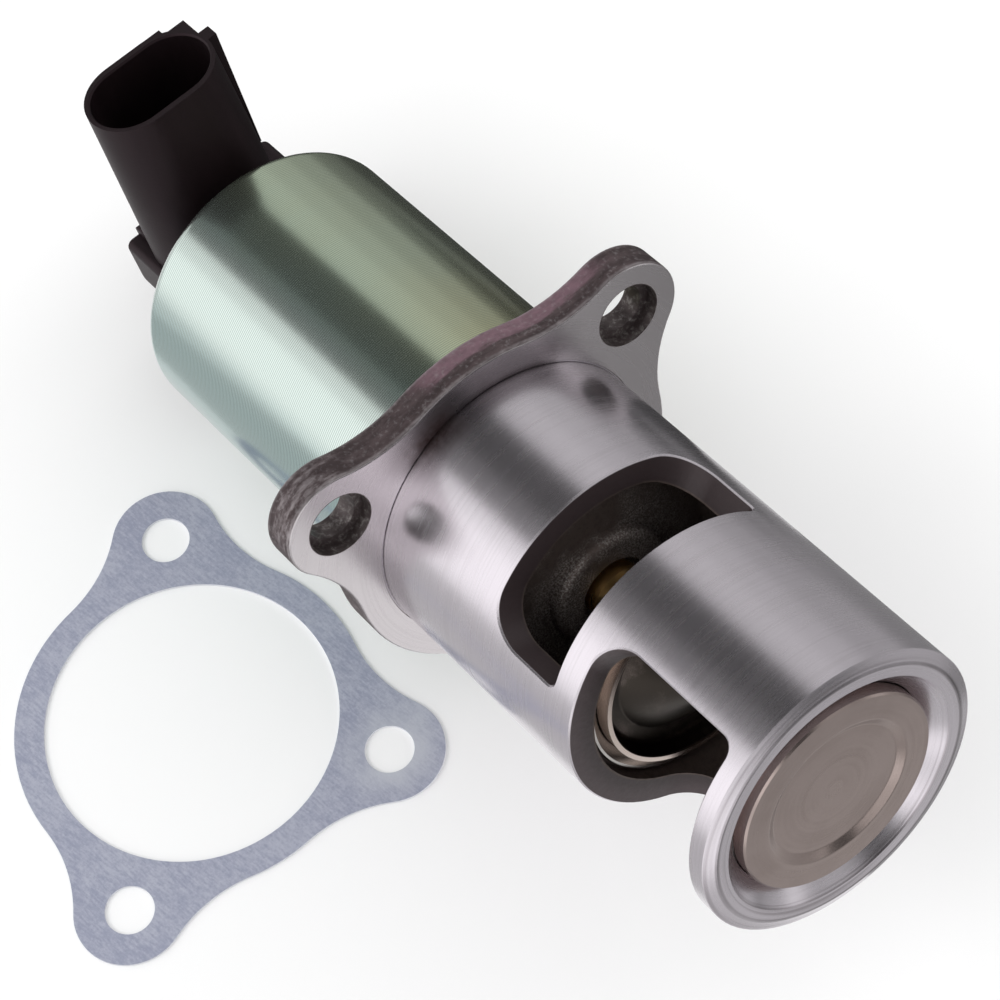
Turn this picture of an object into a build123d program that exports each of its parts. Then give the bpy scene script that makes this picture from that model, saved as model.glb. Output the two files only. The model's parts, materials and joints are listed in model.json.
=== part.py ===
from build123d import *
import os
from math import acos, asin, atan2, cos, degrees, hypot, pi, radians, sin

# Exhaust gas recirculation valve of the plug-in cartridge kind, with the gasket of its flange beside it.
# Lengths are in millimetres. Each piece is built on the valve's own axis: the origin is the centre of the
# flange's mounting face, +Z points to the cartridge's nose and +X to the mouth of the connector. At the end
# the finished valve is laid down as it rests on a bench, on its lowest flange ear and the far rim of its can.

# Cartridge: the machined casting that plugs into the engine
body_radius = 25.0
body_length = 80.0
nose_bevel_width = 2.1
nose_bevel_drop = 0.8

# Flange and its three uneven ears
flange_thickness = 6.3
web_radius = 30.3
blend_radius = 25.0
ear_radius = 9.4
ear_reach = 34.4
ear_angles = (52.3, -58.9, -152.5)
flange_rear_rounding = 0.8
flange_front_rounding = 0.4
bolt_hole_radius = 4.2
bolt_pocket_radius = 5.6
bolt_pocket_depth = 2.4
face_groove_width = 0.25
face_groove_depth = 0.15

# Ports: angles run round the axis from the connector's side
upper_port_height = 16.0
upper_port_start = -50.5
upper_port_end = 58.0
upper_port_flange_corner = 7.0
upper_port_seat_corner = 1.5
lower_port_start = 26.5
lower_port_end = 163.0
lower_port_seat_corner = 6.5
lower_port_nose_corner = 2.5
lower_port_sill = 2.4
port_edge_break = 0.3
nose_land = 4.0

# Inside of the cartridge
chamber_step = 0.6
upper_port_sill = 3.0
guide_boss_radius = 10.5
guide_boss_height = 2.6
guide_boss_fillet = 1.5
guide_pocket_gap = 1.1
guide_pocket_depth = 1.2
partition_thickness = 4.1
spring_chamber_radius = 16.0
spring_chamber_roof = 10.0
seal_boss_radius = 8.4
seal_boss_end = 5.0

# Twin discs and their seats, one disc spacing apart
disc_radius = 17.45
disc_spacing = 32.0
disc_inset = 0.5
disc_edge_height = 2.65
disc_foot_step = 1.25
disc_foot_height = 0.3
seat_gap = 0.2
seat_throat_gap = 0.3
seat_lip = 0.5
dish_rim = 0.8
dish_slope = 0.95
dish_depth = 2.9
dish_floor_width = 2.6
dish_rounding = 0.7
dish_hub_top = 2.6
hub_radius = 4.6
face_edge_break = 0.3
face_recess_rim = 4.5
face_recess_slope = 1.4
face_recess_depth = 0.8
face_recess_rounding = 0.6
seat_ring_height = 3.3
seat_ring_stand = 0.7
seat_ring_fall = 1.7
seat_ring_land = 0.6
seat_ring_chamfer = 0.2

# Stem, guide and return spring
stem_radius = 3.0
stem_tail = -5.0
stem_rivet_radius = 1.6
stem_clearance = 0.04
guide_radius = 4.9
guide_stand = 2.4
guide_chamfer = 0.9
seal_length = 3.0
clip_groove_radius = 2.3
clip_groove_low = -4.2
clip_thickness = 0.8
clip_radius = 4.6
clip_gap = 2.4
retainer_thickness = 1.5
retainer_lip_height = 2.0
retainer_lip_wall = 0.8
retainer_lip_gap = 0.4
return_wire_radius = 0.8
return_spring_radius = 11.4
return_spring_pitch = 3.16
wire_gap = 0.05

# Solenoid
can_radius = 25.0
can_wall = 1.5
can_length = 63.7
can_rim_rounding = 2.5
can_hole_radius = 18.0
register_height = 3.0
register_clearance = 0.1
seal_groove_depth = 1.5
seal_groove_width = 1.5
seal_groove_edge = 0.8
core_clearance = 0.2
pole_plate_thickness = 3.0
pole_radius = 9.0
pole_gap = 6.0
pole_cone_depth = 2.0
pole_cone_rim = 1.6
rod_radius = 2.2
rod_clearance = 0.05
rod_bush_wall = 1.35
rod_bush_length = 12.0
rod_relief = 0.6
sleeve_wall = 0.6
bobbin_wall = 1.2
bobbin_clearance = 0.2
bobbin_flange_gap = 1.7
bobbin_flange_thickness = 2.0
winding_step = 1.2
yoke_thickness = 3.0
armature_clearance = 0.05
armature_length = 20.0
armature_end_gap = 1.3
lead_radius = 0.5
lead_circle = 15.0
lead_angles = (150.0, 210.0)
lead_reach = 3.7

# Moulded head with its plug socket
head_base_length = 6.0
head_base_clearance = 0.2
head_neck_clearance = 0.2
head_seal_height = 2.2
head_length = 23.4
head_drop = 13.0
head_rise = 4.2
head_left = 14.2
head_right = 17.0
head_top_corner = 1.5
head_low_corner = 9.0
head_end_rounding = 0.6
shelf_half_width = 11.3
shelf_rise = 5.9
pedestal_half_width = 10.8
pedestal_rise = 11.0
pedestal_length = 19.0
pedestal_corner = 2.0
socket_offset = 13.7
socket_width = 24.0
socket_height = 17.0
socket_draft = 1.6
socket_side_wall = 1.4
socket_end_wall = 0.9
socket_lip_chamfer = 0.3
socket_mouth = 40.0
socket_floor = 17.0
lug_root = 14.0
lug_draft = 1.15
lug_reaches = (7.6, 11.7, 13.7)
lug_heights = (8.45, 6.9, 2.2, -0.4)
blade_count = 5
blade_pitch = 4.0
blade_width = 1.5
blade_thickness = 0.8
blade_from_mouth = 9.5
blade_length = 16.5

# Position sensor inside the head
sensor_bore_radius = 9.4
sensor_bore_floor = 5.4
slider_clearance = 0.8
slider_lead = 2.0
slider_thickness = 4.0
slider_spigot_radius = 2.0
slider_spigot_length = 8.0
slider_flat = 5.2
board_face = 6.0
board_thickness = 1.0
board_width = 11.0
board_front_gap = 0.7
board_rear_gap = 2.0
wiper_width = 4.0
wiper_length = 3.0
wiper_gap = 0.1
sensor_wire_radius = 0.35
sensor_spring_radius = 3.6
sensor_spring_pitch = 2.54

# Loose flange gasket, lying on the bench beside the valve
gasket_thickness = 0.6
gasket_clearance = 0.2
gasket_behind = 22.6
gasket_beside = 57.4
gasket_turn = 98.0

# How finely the springs' wire is faceted
turn_facets = 16
wire_facets = 6

# Sizes that follow from the ones above: discs, seats, partition and ports, counted back from the nose
disc_foot_radius = disc_radius - disc_foot_step
disc_thickness = disc_edge_height + disc_foot_step + disc_foot_height
face_recess_radius = disc_radius - face_recess_rim
dish_radius = disc_radius - dish_rim
dish_floor_outer = dish_radius - dish_slope
dish_floor_inner = dish_floor_outer - dish_floor_width
end_disc_face = body_length - disc_inset
upper_disc_face = end_disc_face - disc_spacing
seat_throat_radius = disc_foot_radius + seat_throat_gap
seat_mouth_radius = disc_radius + seat_gap + disc_edge_height + disc_inset
seat_ring_high = body_length - disc_spacing - seat_ring_fall
seat_ring_low = seat_ring_high - seat_ring_height
seat_ring_mouth = seat_mouth_radius - seat_ring_fall
seat_ring_radius = seat_ring_mouth + seat_ring_land
chamber_radius = seat_ring_radius + chamber_step
partition_high = seat_ring_high - seat_ring_stand
partition_low = partition_high - partition_thickness
lower_port_low = partition_high + lower_port_sill
lower_port_high = body_length - nose_land
upper_port_high = seat_ring_low
upper_port_low = upper_port_high - upper_port_height
upper_chamber_floor = upper_port_low - upper_port_sill
guide_boss_top = upper_chamber_floor + guide_boss_height
guide_top = guide_boss_top + guide_stand
spring_chamber_floor = upper_chamber_floor - spring_chamber_roof

# Stem end and spring
retainer_low = clip_groove_low + clip_thickness
retainer_high = retainer_low + retainer_thickness
retainer_lip_inner = return_spring_radius + return_wire_radius + retainer_lip_gap
retainer_radius = retainer_lip_inner + retainer_lip_wall

# Solenoid, counted back from the flange and forward from the can's end wall
flange_rear = -flange_thickness
can_end = flange_rear - can_length
can_bore = can_radius - can_wall
can_roof = can_end + can_wall
core_radius = can_bore - core_clearance
register_radius = can_bore - register_clearance
register_rear = flange_rear - register_height
pole_rear = register_rear - pole_plate_thickness
head_base_end = can_roof + head_seal_height
yoke_rear = head_base_end + head_base_length
yoke_front = yoke_rear + yoke_thickness
armature_rear = yoke_front + armature_end_gap
armature_front = armature_rear + armature_length
pole_tip = armature_front + pole_gap
pole_cone_radius = pole_radius - pole_cone_rim
rod_bush_radius = rod_radius + rod_clearance + rod_bush_wall
rod_relief_radius = rod_radius + rod_relief
sleeve_bore = pole_radius
sleeve_radius = sleeve_bore + sleeve_wall
bobbin_bore = sleeve_radius + bobbin_clearance
bobbin_radius = bobbin_bore + bobbin_wall
bobbin_flange_radius = can_bore - bobbin_flange_gap
winding_radius = bobbin_flange_radius - winding_step
lead_tail = yoke_rear - lead_reach

# Head and sensor, counted back from the can's end
head_end = can_end - head_length
head_seal_radius = (can_hole_radius + can_bore) / 2
socket_centre = can_end - socket_offset
blade_tip = socket_mouth - blade_from_mouth
blade_root = blade_tip - blade_length
sensor_bore_end = head_end + sensor_bore_floor
slider_radius = sensor_bore_radius - slider_clearance
slider_front = can_end + slider_lead
board_seat = board_face + board_thickness
board_front = yoke_rear - board_front_gap
board_rear = sensor_bore_end + board_rear_gap
rod_tail = slider_front


def turned(*points):
    """Solid of revolution about the valve's axis from (radius, height) corners."""
    corners = [(radius, 0, height) for radius, height in points]
    return revolve(make_face(Polyline(*corners, close=True)), Axis.Z)


def tube(outer, inner, low, high):
    """Plain ring or sleeve about the valve's axis."""
    return turned((inner, low), (outer, low), (outer, high), (inner, high))


def rod(radius, low, high):
    """Plain round bar on the valve's axis."""
    return Pos(0, 0, low) * extrude(Circle(radius), high - low)


def rims(shape, radius, height):
    """Circular edges of a turned piece at one radius and height."""
    circles = shape.edges().filter_by(GeomType.CIRCLE)
    return [e for e in circles if abs(e.radius - radius) < 0.01 and abs(e.arc_center.Z - height) < 0.01]


def lobed_outline():
    """Flat outline shared by the flange and its gasket: a round web blended into three round ears."""
    outline = Circle(web_radius)
    centre_reach = web_radius + blend_radius
    ear_to_blend = ear_radius + blend_radius
    swing = acos((centre_reach**2 + ear_reach**2 - ear_to_blend**2) / (2 * centre_reach * ear_reach))
    left = (centre_reach * cos(swing), centre_reach * sin(swing))
    right = (left[0], -left[1])
    ear = make_face(Polyline((0, 0), right, (ear_reach, 0), left, close=True))
    ear -= Pos(*left) * Circle(blend_radius)
    ear -= Pos(*right) * Circle(blend_radius)
    ear += Pos(ear_reach, 0) * Circle(ear_radius)
    for angle in ear_angles:
        outline += Rot(0, 0, angle) * ear
    return outline


def port(low, high, start, end, low_corner, high_corner):
    """Cutter for a port milled through the cartridge wall, its four corners rounded."""
    slab = make_face(
        Polyline(
            (chamber_radius, 0, low),
            (body_radius + 3, 0, low),
            (body_radius + 3, 0, high),
            (chamber_radius, 0, high),
            close=True,
        )
    )
    cutter = Rot(0, 0, start) * revolve(slab, Axis.Z, revolution_arc=end - start)
    radial = [e for e in cutter.edges().filter_by(GeomType.LINE) if abs(e.tangent_at(0).Z) < 0.5]
    by_height = ShapeList(radial).sort_by(Axis.Z)
    cutter = fillet(by_height[:2], low_corner)
    radial = [e for e in cutter.edges().filter_by(GeomType.LINE) if abs(e.tangent_at(0).Z) < 0.5]
    high_edges = [e for e in radial if abs(e.center().Z - high) < 0.01]
    return fillet(high_edges, high_corner)


def port_rims(body):
    """Edges where the two ports break out through the turned outside of the barrel."""
    found = []
    for edge in body.edges():
        middle = edge.position_at(0.5)
        on_barrel = abs(hypot(middle.X, middle.Y) - body_radius) < 0.01
        if on_barrel and upper_port_low - 0.01 < middle.Z < lower_port_high + 0.01:
            found.append(edge)
    return found


def coil_spring(mean_radius, wire_radius, low, high, pitch):
    """Helical compression spring between two faces, its wire a chain of straight mitred bars."""
    bottom = low + wire_radius + wire_gap
    travel = high - low - 2 * (wire_radius + wire_gap)
    count = round(travel / pitch * turn_facets)
    step = 2 * pi / turn_facets
    path = [
        Vector(
            mean_radius * cos(step * place),
            mean_radius * sin(step * place),
            bottom + travel * place / count,
        )
        for place in range(count + 1)
    ]
    along = [(after - before).normalized() for before, after in zip(path, path[1:])]
    outward = Vector(1, 0, 0)
    across = along[0].cross(outward).normalized()
    outward = across.cross(along[0])
    rings = [
        [
            path[0] + wire_radius * (outward * cos(turn) + across * sin(turn))
            for turn in (2 * pi * side / wire_facets for side in range(wire_facets))
        ]
    ]
    for place in range(1, count + 1):
        before = along[place - 1]
        mitre = before if place == count else (before + along[place]).normalized()
        rings.append([p + before * ((path[place] - p).dot(mitre) / before.dot(mitre)) for p in rings[-1]])
    faces = [Face(Wire.make_polygon(ring)) for ring in (rings[0], rings[-1])]
    for ring, ahead in zip(rings, rings[1:]):
        for side in range(wire_facets):
            beside = (side + 1) % wire_facets
            faces.append(Face(Wire.make_polygon([ring[side], ring[beside], ahead[beside], ahead[side]])))
    return Solid(Shell(faces))


def valve_body():
    """Cartridge casting: flange, ported barrel, partition, nose seat and the bosses for the stem."""
    outside = turned(
        (0, register_rear),
        (register_radius, register_rear),
        (register_radius, flange_rear),
        (body_radius, flange_rear),
        (body_radius, body_length - nose_bevel_drop),
        (body_radius - nose_bevel_width, body_length),
        (0, body_length),
    )
    plate = Pos(0, 0, flange_rear) * extrude(lobed_outline(), flange_thickness)
    plate = fillet(plate.edges().group_by(Axis.Z)[0], flange_rear_rounding)
    plate = fillet(plate.edges().group_by(Axis.Z)[-1], flange_front_rounding)
    groove = tube(
        register_radius + 1,
        register_radius - seal_groove_depth,
        flange_rear - seal_groove_edge - seal_groove_width,
        flange_rear - seal_groove_edge,
    )
    face_groove = tube(body_radius + face_groove_width, body_radius, -face_groove_depth, 0)
    body = outside + plate - groove - face_groove

    spring_chamber = turned(
        (0, register_rear),
        (spring_chamber_radius, register_rear),
        (spring_chamber_radius, spring_chamber_floor),
        (seal_boss_radius, spring_chamber_floor),
        (seal_boss_radius, seal_boss_end),
        (0, seal_boss_end),
    )
    guide_bore = rod(guide_radius, seal_boss_end, guide_boss_top)
    guide_pocket = rod(guide_radius + guide_pocket_gap, guide_boss_top - guide_pocket_depth, guide_boss_top)
    upper_chamber = turned(
        (0, guide_boss_top),
        (guide_boss_radius, guide_boss_top),
        (guide_boss_radius, upper_chamber_floor),
        (chamber_radius, upper_chamber_floor),
        (chamber_radius, partition_low),
        (0, partition_low),
    )
    upper_chamber = fillet(
        rims(upper_chamber, guide_boss_radius, guide_boss_top)
        + rims(upper_chamber, chamber_radius, upper_chamber_floor),
        guide_boss_fillet,
    )
    seat_bore = turned(
        (0, partition_low),
        (seat_throat_radius, partition_low),
        (seat_throat_radius, seat_ring_low),
        (seat_ring_radius, seat_ring_low),
        (seat_ring_radius, partition_high),
        (0, partition_high),
    )
    seat_low = body_length - (seat_mouth_radius - seat_throat_radius)
    lower_chamber_top = seat_low - seat_lip
    lower_chamber = rod(chamber_radius, partition_high, lower_chamber_top)
    nose_seat = turned(
        (0, lower_chamber_top),
        (seat_throat_radius, lower_chamber_top),
        (seat_throat_radius, seat_low),
        (seat_mouth_radius, body_length),
        (0, body_length),
    )
    stem_side = (spring_chamber, guide_bore, guide_pocket, upper_chamber)
    nose_side = (seat_bore, lower_chamber, nose_seat)
    for hollow in stem_side + nose_side:
        body -= hollow

    body -= port(
        upper_port_low, upper_port_high, upper_port_start, upper_port_end,
        upper_port_flange_corner, upper_port_seat_corner,
    )
    body -= port(
        lower_port_low, lower_port_high, lower_port_start, lower_port_end,
        lower_port_seat_corner, lower_port_nose_corner,
    )
    body = chamfer(port_rims(body), port_edge_break)
    for angle in ear_angles:
        ear = Rot(0, 0, angle) * Pos(ear_reach, 0, 0)
        body -= ear * rod(bolt_hole_radius, flange_rear, 0)
        body -= ear * rod(bolt_pocket_radius, -bolt_pocket_depth, 0)
    return body


def upper_seat_ring():
    """Hard seat ring pressed into the partition."""
    foot = seat_ring_high - (seat_ring_mouth - seat_throat_radius)
    return turned(
        (seat_throat_radius, seat_ring_low),
        (seat_ring_radius, seat_ring_low),
        (seat_ring_radius, seat_ring_high - seat_ring_chamfer),
        (seat_ring_radius - seat_ring_chamfer, seat_ring_high),
        (seat_ring_mouth, seat_ring_high),
        (seat_throat_radius, foot),
    )


def disc_blank(face):
    """Corners of a disc's outside from its foot up to the rim of its face, as (radius, height)."""
    edge_low = face - disc_edge_height
    foot = edge_low - (disc_radius - disc_foot_radius)
    return [(disc_foot_radius, foot), (disc_radius, edge_low), (disc_radius, face)]


def end_disc():
    """Outer disc, with a shallow round recess in its face and the stem riveted through it."""
    low = end_disc_face - disc_thickness
    blank = turned((0, low), (disc_foot_radius, low), *disc_blank(end_disc_face), (0, end_disc_face))
    recess_floor = end_disc_face - face_recess_depth
    floor_radius = face_recess_radius - face_recess_slope
    recess = turned(
        (0, recess_floor),
        (floor_radius, recess_floor),
        (face_recess_radius, end_disc_face),
        (0, end_disc_face),
    )
    disc = blank - recess - rod(stem_rivet_radius, low, end_disc_face)
    disc = chamfer(rims(disc, disc_radius, end_disc_face), face_edge_break)
    corners = rims(disc, floor_radius, recess_floor) + rims(disc, face_recess_radius, end_disc_face)
    return fillet(corners, face_recess_rounding)


def upper_disc():
    """Inner disc, dished round a conical hub that the stem passes through."""
    face = upper_disc_face
    low = face - disc_thickness
    floor = face - dish_depth
    blank = turned(
        (stem_radius, low),
        (disc_foot_radius, low),
        *disc_blank(face),
        (dish_radius, face),
        (dish_floor_outer, floor),
        (dish_floor_inner, floor),
        (hub_radius, face + dish_hub_top),
        (stem_radius, face + dish_hub_top),
    )
    return fillet(rims(blank, dish_floor_outer, floor) + rims(blank, dish_floor_inner, floor), dish_rounding)


def valve_stem():
    """Stem that carries both discs, with a rivet end and a clip groove."""
    disc_low = end_disc_face - disc_thickness
    return turned(
        (0, stem_tail),
        (stem_radius, stem_tail),
        (stem_radius, clip_groove_low),
        (clip_groove_radius, clip_groove_low),
        (clip_groove_radius, retainer_low),
        (stem_radius, retainer_low),
        (stem_radius, disc_low),
        (stem_rivet_radius, disc_low),
        (stem_rivet_radius, end_disc_face - face_recess_depth),
        (0, end_disc_face - face_recess_depth),
    )


def stem_guide():
    """Bronze bush that the stem slides in, its chamfered end standing in the upper chamber."""
    bore = stem_radius + stem_clearance
    return turned(
        (bore, seal_boss_end + seal_length),
        (guide_radius, seal_boss_end + seal_length),
        (guide_radius, guide_top - guide_chamfer),
        (guide_radius - guide_chamfer, guide_top),
        (bore, guide_top),
    )


def stem_seal():
    """Lip seal that keeps exhaust gas off the solenoid."""
    return tube(guide_radius, stem_radius + stem_clearance, seal_boss_end, seal_boss_end + seal_length)


def spring_retainer():
    """Cupped washer that the return spring pushes against."""
    return turned(
        (stem_radius, retainer_low),
        (retainer_radius, retainer_low),
        (retainer_radius, retainer_low + retainer_lip_height),
        (retainer_lip_inner, retainer_low + retainer_lip_height),
        (retainer_lip_inner, retainer_high),
        (stem_radius, retainer_high),
    )


def retainer_clip():
    """Split ring in the stem's groove."""
    ring = tube(clip_radius, clip_groove_radius, clip_groove_low, retainer_low)
    mouth = Pos(clip_radius, 0, (clip_groove_low + retainer_low) / 2) * Box(2 * clip_radius, clip_gap, 2)
    return ring - mouth


def return_spring():
    """Spring that pulls both discs back on their seats."""
    return coil_spring(
        return_spring_radius, return_wire_radius, retainer_high, spring_chamber_floor, return_spring_pitch
    )


def solenoid_can():
    """Drawn steel can over the solenoid, its far rim rounded."""
    can = turned(
        (can_bore, flange_rear),
        (can_radius, flange_rear),
        (can_radius, can_end),
        (can_hole_radius, can_end),
        (can_hole_radius, can_roof),
        (can_bore, can_roof),
    )
    can = fillet(rims(can, can_radius, can_end), can_rim_rounding)
    return fillet(rims(can, can_bore, can_roof), can_rim_rounding - can_wall)


def can_seal():
    """Seal ring in the register's groove, closed by the can."""
    low = flange_rear - seal_groove_edge - seal_groove_width
    return tube(register_radius, register_radius - seal_groove_depth, low, flange_rear - seal_groove_edge)


def pole_piece():
    """Fixed iron core: a plate on the register and a tube that ends in a shallow cone."""
    return turned(
        (rod_bush_radius, register_rear),
        (core_radius, register_rear),
        (core_radius, pole_rear),
        (pole_radius, pole_rear),
        (pole_radius, pole_tip),
        (pole_cone_radius, pole_tip),
        (pole_cone_radius - pole_cone_depth, pole_tip + pole_cone_depth),
        (rod_relief_radius, pole_tip + pole_cone_depth),
        (rod_relief_radius, register_rear - rod_bush_length),
        (rod_bush_radius, register_rear - rod_bush_length),
    )


def rod_bush():
    """Bush in the pole piece that steadies the push rod."""
    return tube(rod_bush_radius, rod_radius + rod_clearance, register_rear - rod_bush_length, register_rear)


def armature_sleeve():
    """Thin non-magnetic tube that joins the pole to the rear yoke and guides the armature."""
    return tube(sleeve_radius, sleeve_bore, yoke_rear, pole_rear)


def armature():
    """Iron plunger, coned at the front to match the pole."""
    radius = sleeve_bore - armature_clearance
    return turned(
        (rod_radius, armature_rear),
        (radius, armature_rear),
        (radius, armature_front),
        (pole_cone_radius, armature_front),
        (pole_cone_radius - pole_cone_depth, armature_front + pole_cone_depth),
        (rod_radius, armature_front + pole_cone_depth),
    )


def push_rod():
    """Rod through the armature, from the valve stem to the sensor slider."""
    return rod(rod_radius, rod_tail, stem_tail)


def lead_holes(radius, low, high):
    """Bars at the two lead positions, to cut or to make the leads."""
    bars = [
        Rot(0, 0, angle) * Pos(lead_circle, 0, 0) * rod(radius, low, high) for angle in lead_angles
    ]
    return bars


def coil_bobbin():
    """Plastic bobbin, with two small holes for the coil's leads in its rear flange."""
    bobbin = turned(
        (bobbin_bore, yoke_front),
        (bobbin_flange_radius, yoke_front),
        (bobbin_flange_radius, yoke_front + bobbin_flange_thickness),
        (bobbin_radius, yoke_front + bobbin_flange_thickness),
        (bobbin_radius, pole_rear - bobbin_flange_thickness),
        (bobbin_flange_radius, pole_rear - bobbin_flange_thickness),
        (bobbin_flange_radius, pole_rear),
        (bobbin_bore, pole_rear),
    )
    for bar in lead_holes(lead_radius, yoke_front, yoke_front + bobbin_flange_thickness):
        bobbin -= bar
    return bobbin


def coil_winding():
    """Copper winding on the bobbin."""
    return tube(
        winding_radius,
        bobbin_radius,
        yoke_front + bobbin_flange_thickness,
        pole_rear - bobbin_flange_thickness,
    )


def rear_yoke():
    """Iron washer that closes the magnetic circuit behind the coil."""
    yoke = tube(core_radius, sleeve_radius, yoke_rear, yoke_front)
    for bar in lead_holes(2 * lead_radius, yoke_rear, yoke_front):
        yoke -= bar
    return yoke


def coil_leads():
    """Two copper pins from the winding into the head."""
    return Compound(lead_holes(lead_radius, lead_tail, yoke_front + bobbin_flange_thickness))


def obround(width, height):
    """Flat outline with straight long sides and round ends, its width along Y once it is stood up."""
    return SlotOverall(width, height)


def socket_section(x, width, height):
    """Obround outline across the socket, in the plane at one distance from the valve's axis."""
    plane = Plane(origin=(x, 0, socket_centre), x_dir=(0, 1, 0), z_dir=(1, 0, 0))
    return plane * obround(width, height)


def lug_section(x):
    """Stepped outline of the lug beside the socket, its steps falling back towards the head."""
    fall = lug_draft * (socket_mouth - x) / socket_mouth
    corners = [(0, lug_heights[0])]
    for reach, high, low in zip(lug_reaches, lug_heights, lug_heights[1:]):
        corners += [(fall - reach, high), (fall - reach, low)]
    corners.append((0, lug_heights[-1]))
    points = [(x, across, socket_centre - behind) for across, behind in corners]
    return make_face(Polyline(*points, close=True))


def terminal_blades():
    """The five flat terminals, standing in one row in the socket."""
    length = blade_tip - blade_root
    first = -blade_pitch * (blade_count - 1) / 2
    blade = Box(length, blade_width, blade_thickness)
    blade = chamfer(blade.edges().filter_by(Axis.Y).group_by(Axis.X)[-1], blade_thickness / 4)
    middle = (blade_tip + blade_root) / 2
    return [Pos(middle, first + blade_pitch * place, socket_centre) * blade for place in range(blade_count)]


def sensor_bore():
    """Hollow of the head that the sensor slides in, flat where the resistor board lies."""
    bore = rod(sensor_bore_radius, sensor_bore_end, yoke_rear)
    beyond = Pos(board_seat + sensor_bore_radius, 0, (sensor_bore_end + yoke_rear) / 2)
    depth = yoke_rear - sensor_bore_end + 2
    return bore - beyond * Box(2 * sensor_bore_radius, 4 * sensor_bore_radius, depth)


def connector_head():
    """Moulded head: base inside the can, a stub body behind it and the radial plug socket."""
    base = rod(can_bore - head_base_clearance, head_base_end, yoke_rear)
    neck = rod(can_hole_radius - head_neck_clearance, can_end, head_base_end)
    stub_width = head_left + head_right
    stub_height = head_rise + head_drop
    stub_centre = Pos((head_rise - head_drop) / 2, (head_left - head_right) / 2, (can_end + head_end) / 2)
    stub = stub_centre * Box(stub_height, stub_width, head_length)
    uprights = stub.edges().filter_by(Axis.Z).sort_by(Axis.X)
    stub = fillet(uprights[:2], head_low_corner)
    uprights = stub.edges().filter_by(Axis.Z).sort_by(Axis.X)
    stub = fillet(uprights[-2:], head_top_corner)
    stub = fillet(stub.edges().group_by(Axis.Z)[0], head_end_rounding)
    shelf_centre = Pos(shelf_rise / 2, 0, (can_end + head_end) / 2)
    shelf = shelf_centre * Box(shelf_rise, 2 * shelf_half_width, head_length)
    shelf = fillet(shelf.edges().group_by(Axis.X)[-1], head_end_rounding)
    pedestal = Pos(pedestal_rise / 2, 0, can_end - pedestal_length / 2) * Box(
        pedestal_rise, 2 * pedestal_half_width, pedestal_length
    )
    pedestal = fillet(pedestal.edges().filter_by(Axis.X), pedestal_corner)
    shroud = loft(
        [
            socket_section(0, socket_width + socket_draft, socket_height + socket_draft),
            socket_section(socket_mouth, socket_width, socket_height),
        ]
    )
    lug = loft([lug_section(lug_root), lug_section(socket_mouth)], ruled=True)
    head = base + neck + stub + shelf + pedestal + shroud + lug
    bore_width = socket_width - 2 * socket_end_wall
    bore_height = socket_height - 2 * socket_side_wall
    head -= extrude(socket_section(socket_floor, bore_width, bore_height), socket_mouth - socket_floor)
    lip_width = bore_width + 2 * socket_lip_chamfer
    lip_height = bore_height + 2 * socket_lip_chamfer
    head -= loft(
        [
            socket_section(socket_mouth - socket_lip_chamfer, bore_width, bore_height),
            socket_section(socket_mouth, lip_width, lip_height),
        ]
    )
    head -= sensor_bore()
    for blade in terminal_blades():
        head -= blade
    for bar in lead_holes(lead_radius, lead_tail, yoke_rear):
        head -= bar
    return head


def connector_terminals():
    """The terminals as one group."""
    return Compound(terminal_blades())


def head_seal():
    """Square ring with bevelled corners, squeezed between the head's base and the can's end wall."""
    half = head_seal_height / 2
    ring = tube(head_seal_radius + half, head_seal_radius - half, can_roof, head_base_end)
    return chamfer(ring.edges().filter_by(GeomType.CIRCLE), half / 2)


def sensor_slider():
    """Plastic carrier that follows the push rod, flat on the side of the board."""
    rear = slider_front - slider_thickness
    slider = rod(slider_radius, rear, slider_front)
    cut = Pos(slider_flat + slider_radius, 0, (rear + slider_front) / 2)
    slider -= cut * Box(2 * slider_radius, 4 * slider_radius, slider_thickness + 1)
    return slider + rod(slider_spigot_radius, rear - slider_spigot_length, rear)


def sensor_wiper():
    """Brass contact on the slider's flat."""
    thickness = board_face - wiper_gap - slider_flat
    middle = slider_front - slider_thickness / 2
    return Pos(slider_flat + thickness / 2, 0, middle) * Box(thickness, wiper_width, wiper_length)


def sensor_board():
    """Ceramic resistor board on the flat of the head's bore."""
    middle = (board_front + board_rear) / 2
    return Pos(board_face + board_thickness / 2, 0, middle) * Box(
        board_thickness, board_width, board_front - board_rear
    )


def sensor_spring():
    """Light spring that keeps the slider on the push rod."""
    return coil_spring(
        sensor_spring_radius,
        sensor_wire_radius,
        sensor_bore_end,
        slider_front - slider_thickness,
        sensor_spring_pitch,
    )


def flange_gasket():
    """Thin sheet gasket with the flange's outline, a hole for the cartridge and three bolt holes."""
    sheet = extrude(lobed_outline(), gasket_thickness)
    sheet -= rod(body_radius + gasket_clearance, 0, gasket_thickness)
    for angle in ear_angles:
        sheet -= Rot(0, 0, angle) * Pos(ear_reach, 0, 0) * rod(bolt_hole_radius, 0, gasket_thickness)
    return sheet


def lie_down():
    """How the valve lies: its lean, and the height of the flange's centre above the bench."""
    lowest_ear = ear_angles[2]
    ear_depth = -ear_reach * cos(radians(lowest_ear)) + ear_radius - flange_rear_rounding
    ear_place = flange_thickness - flange_rear_rounding
    rim_depth = can_radius - can_rim_rounding
    rim_place = -can_end - can_rim_rounding
    slope = atan2(ear_depth - rim_depth, rim_place - ear_place)
    span = hypot(ear_depth - rim_depth, rim_place - ear_place)
    lean = slope - asin((can_rim_rounding - flange_rear_rounding) / span)
    height = cos(lean) * ear_depth + sin(lean) * ear_place + flange_rear_rounding
    return lean, height


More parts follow.
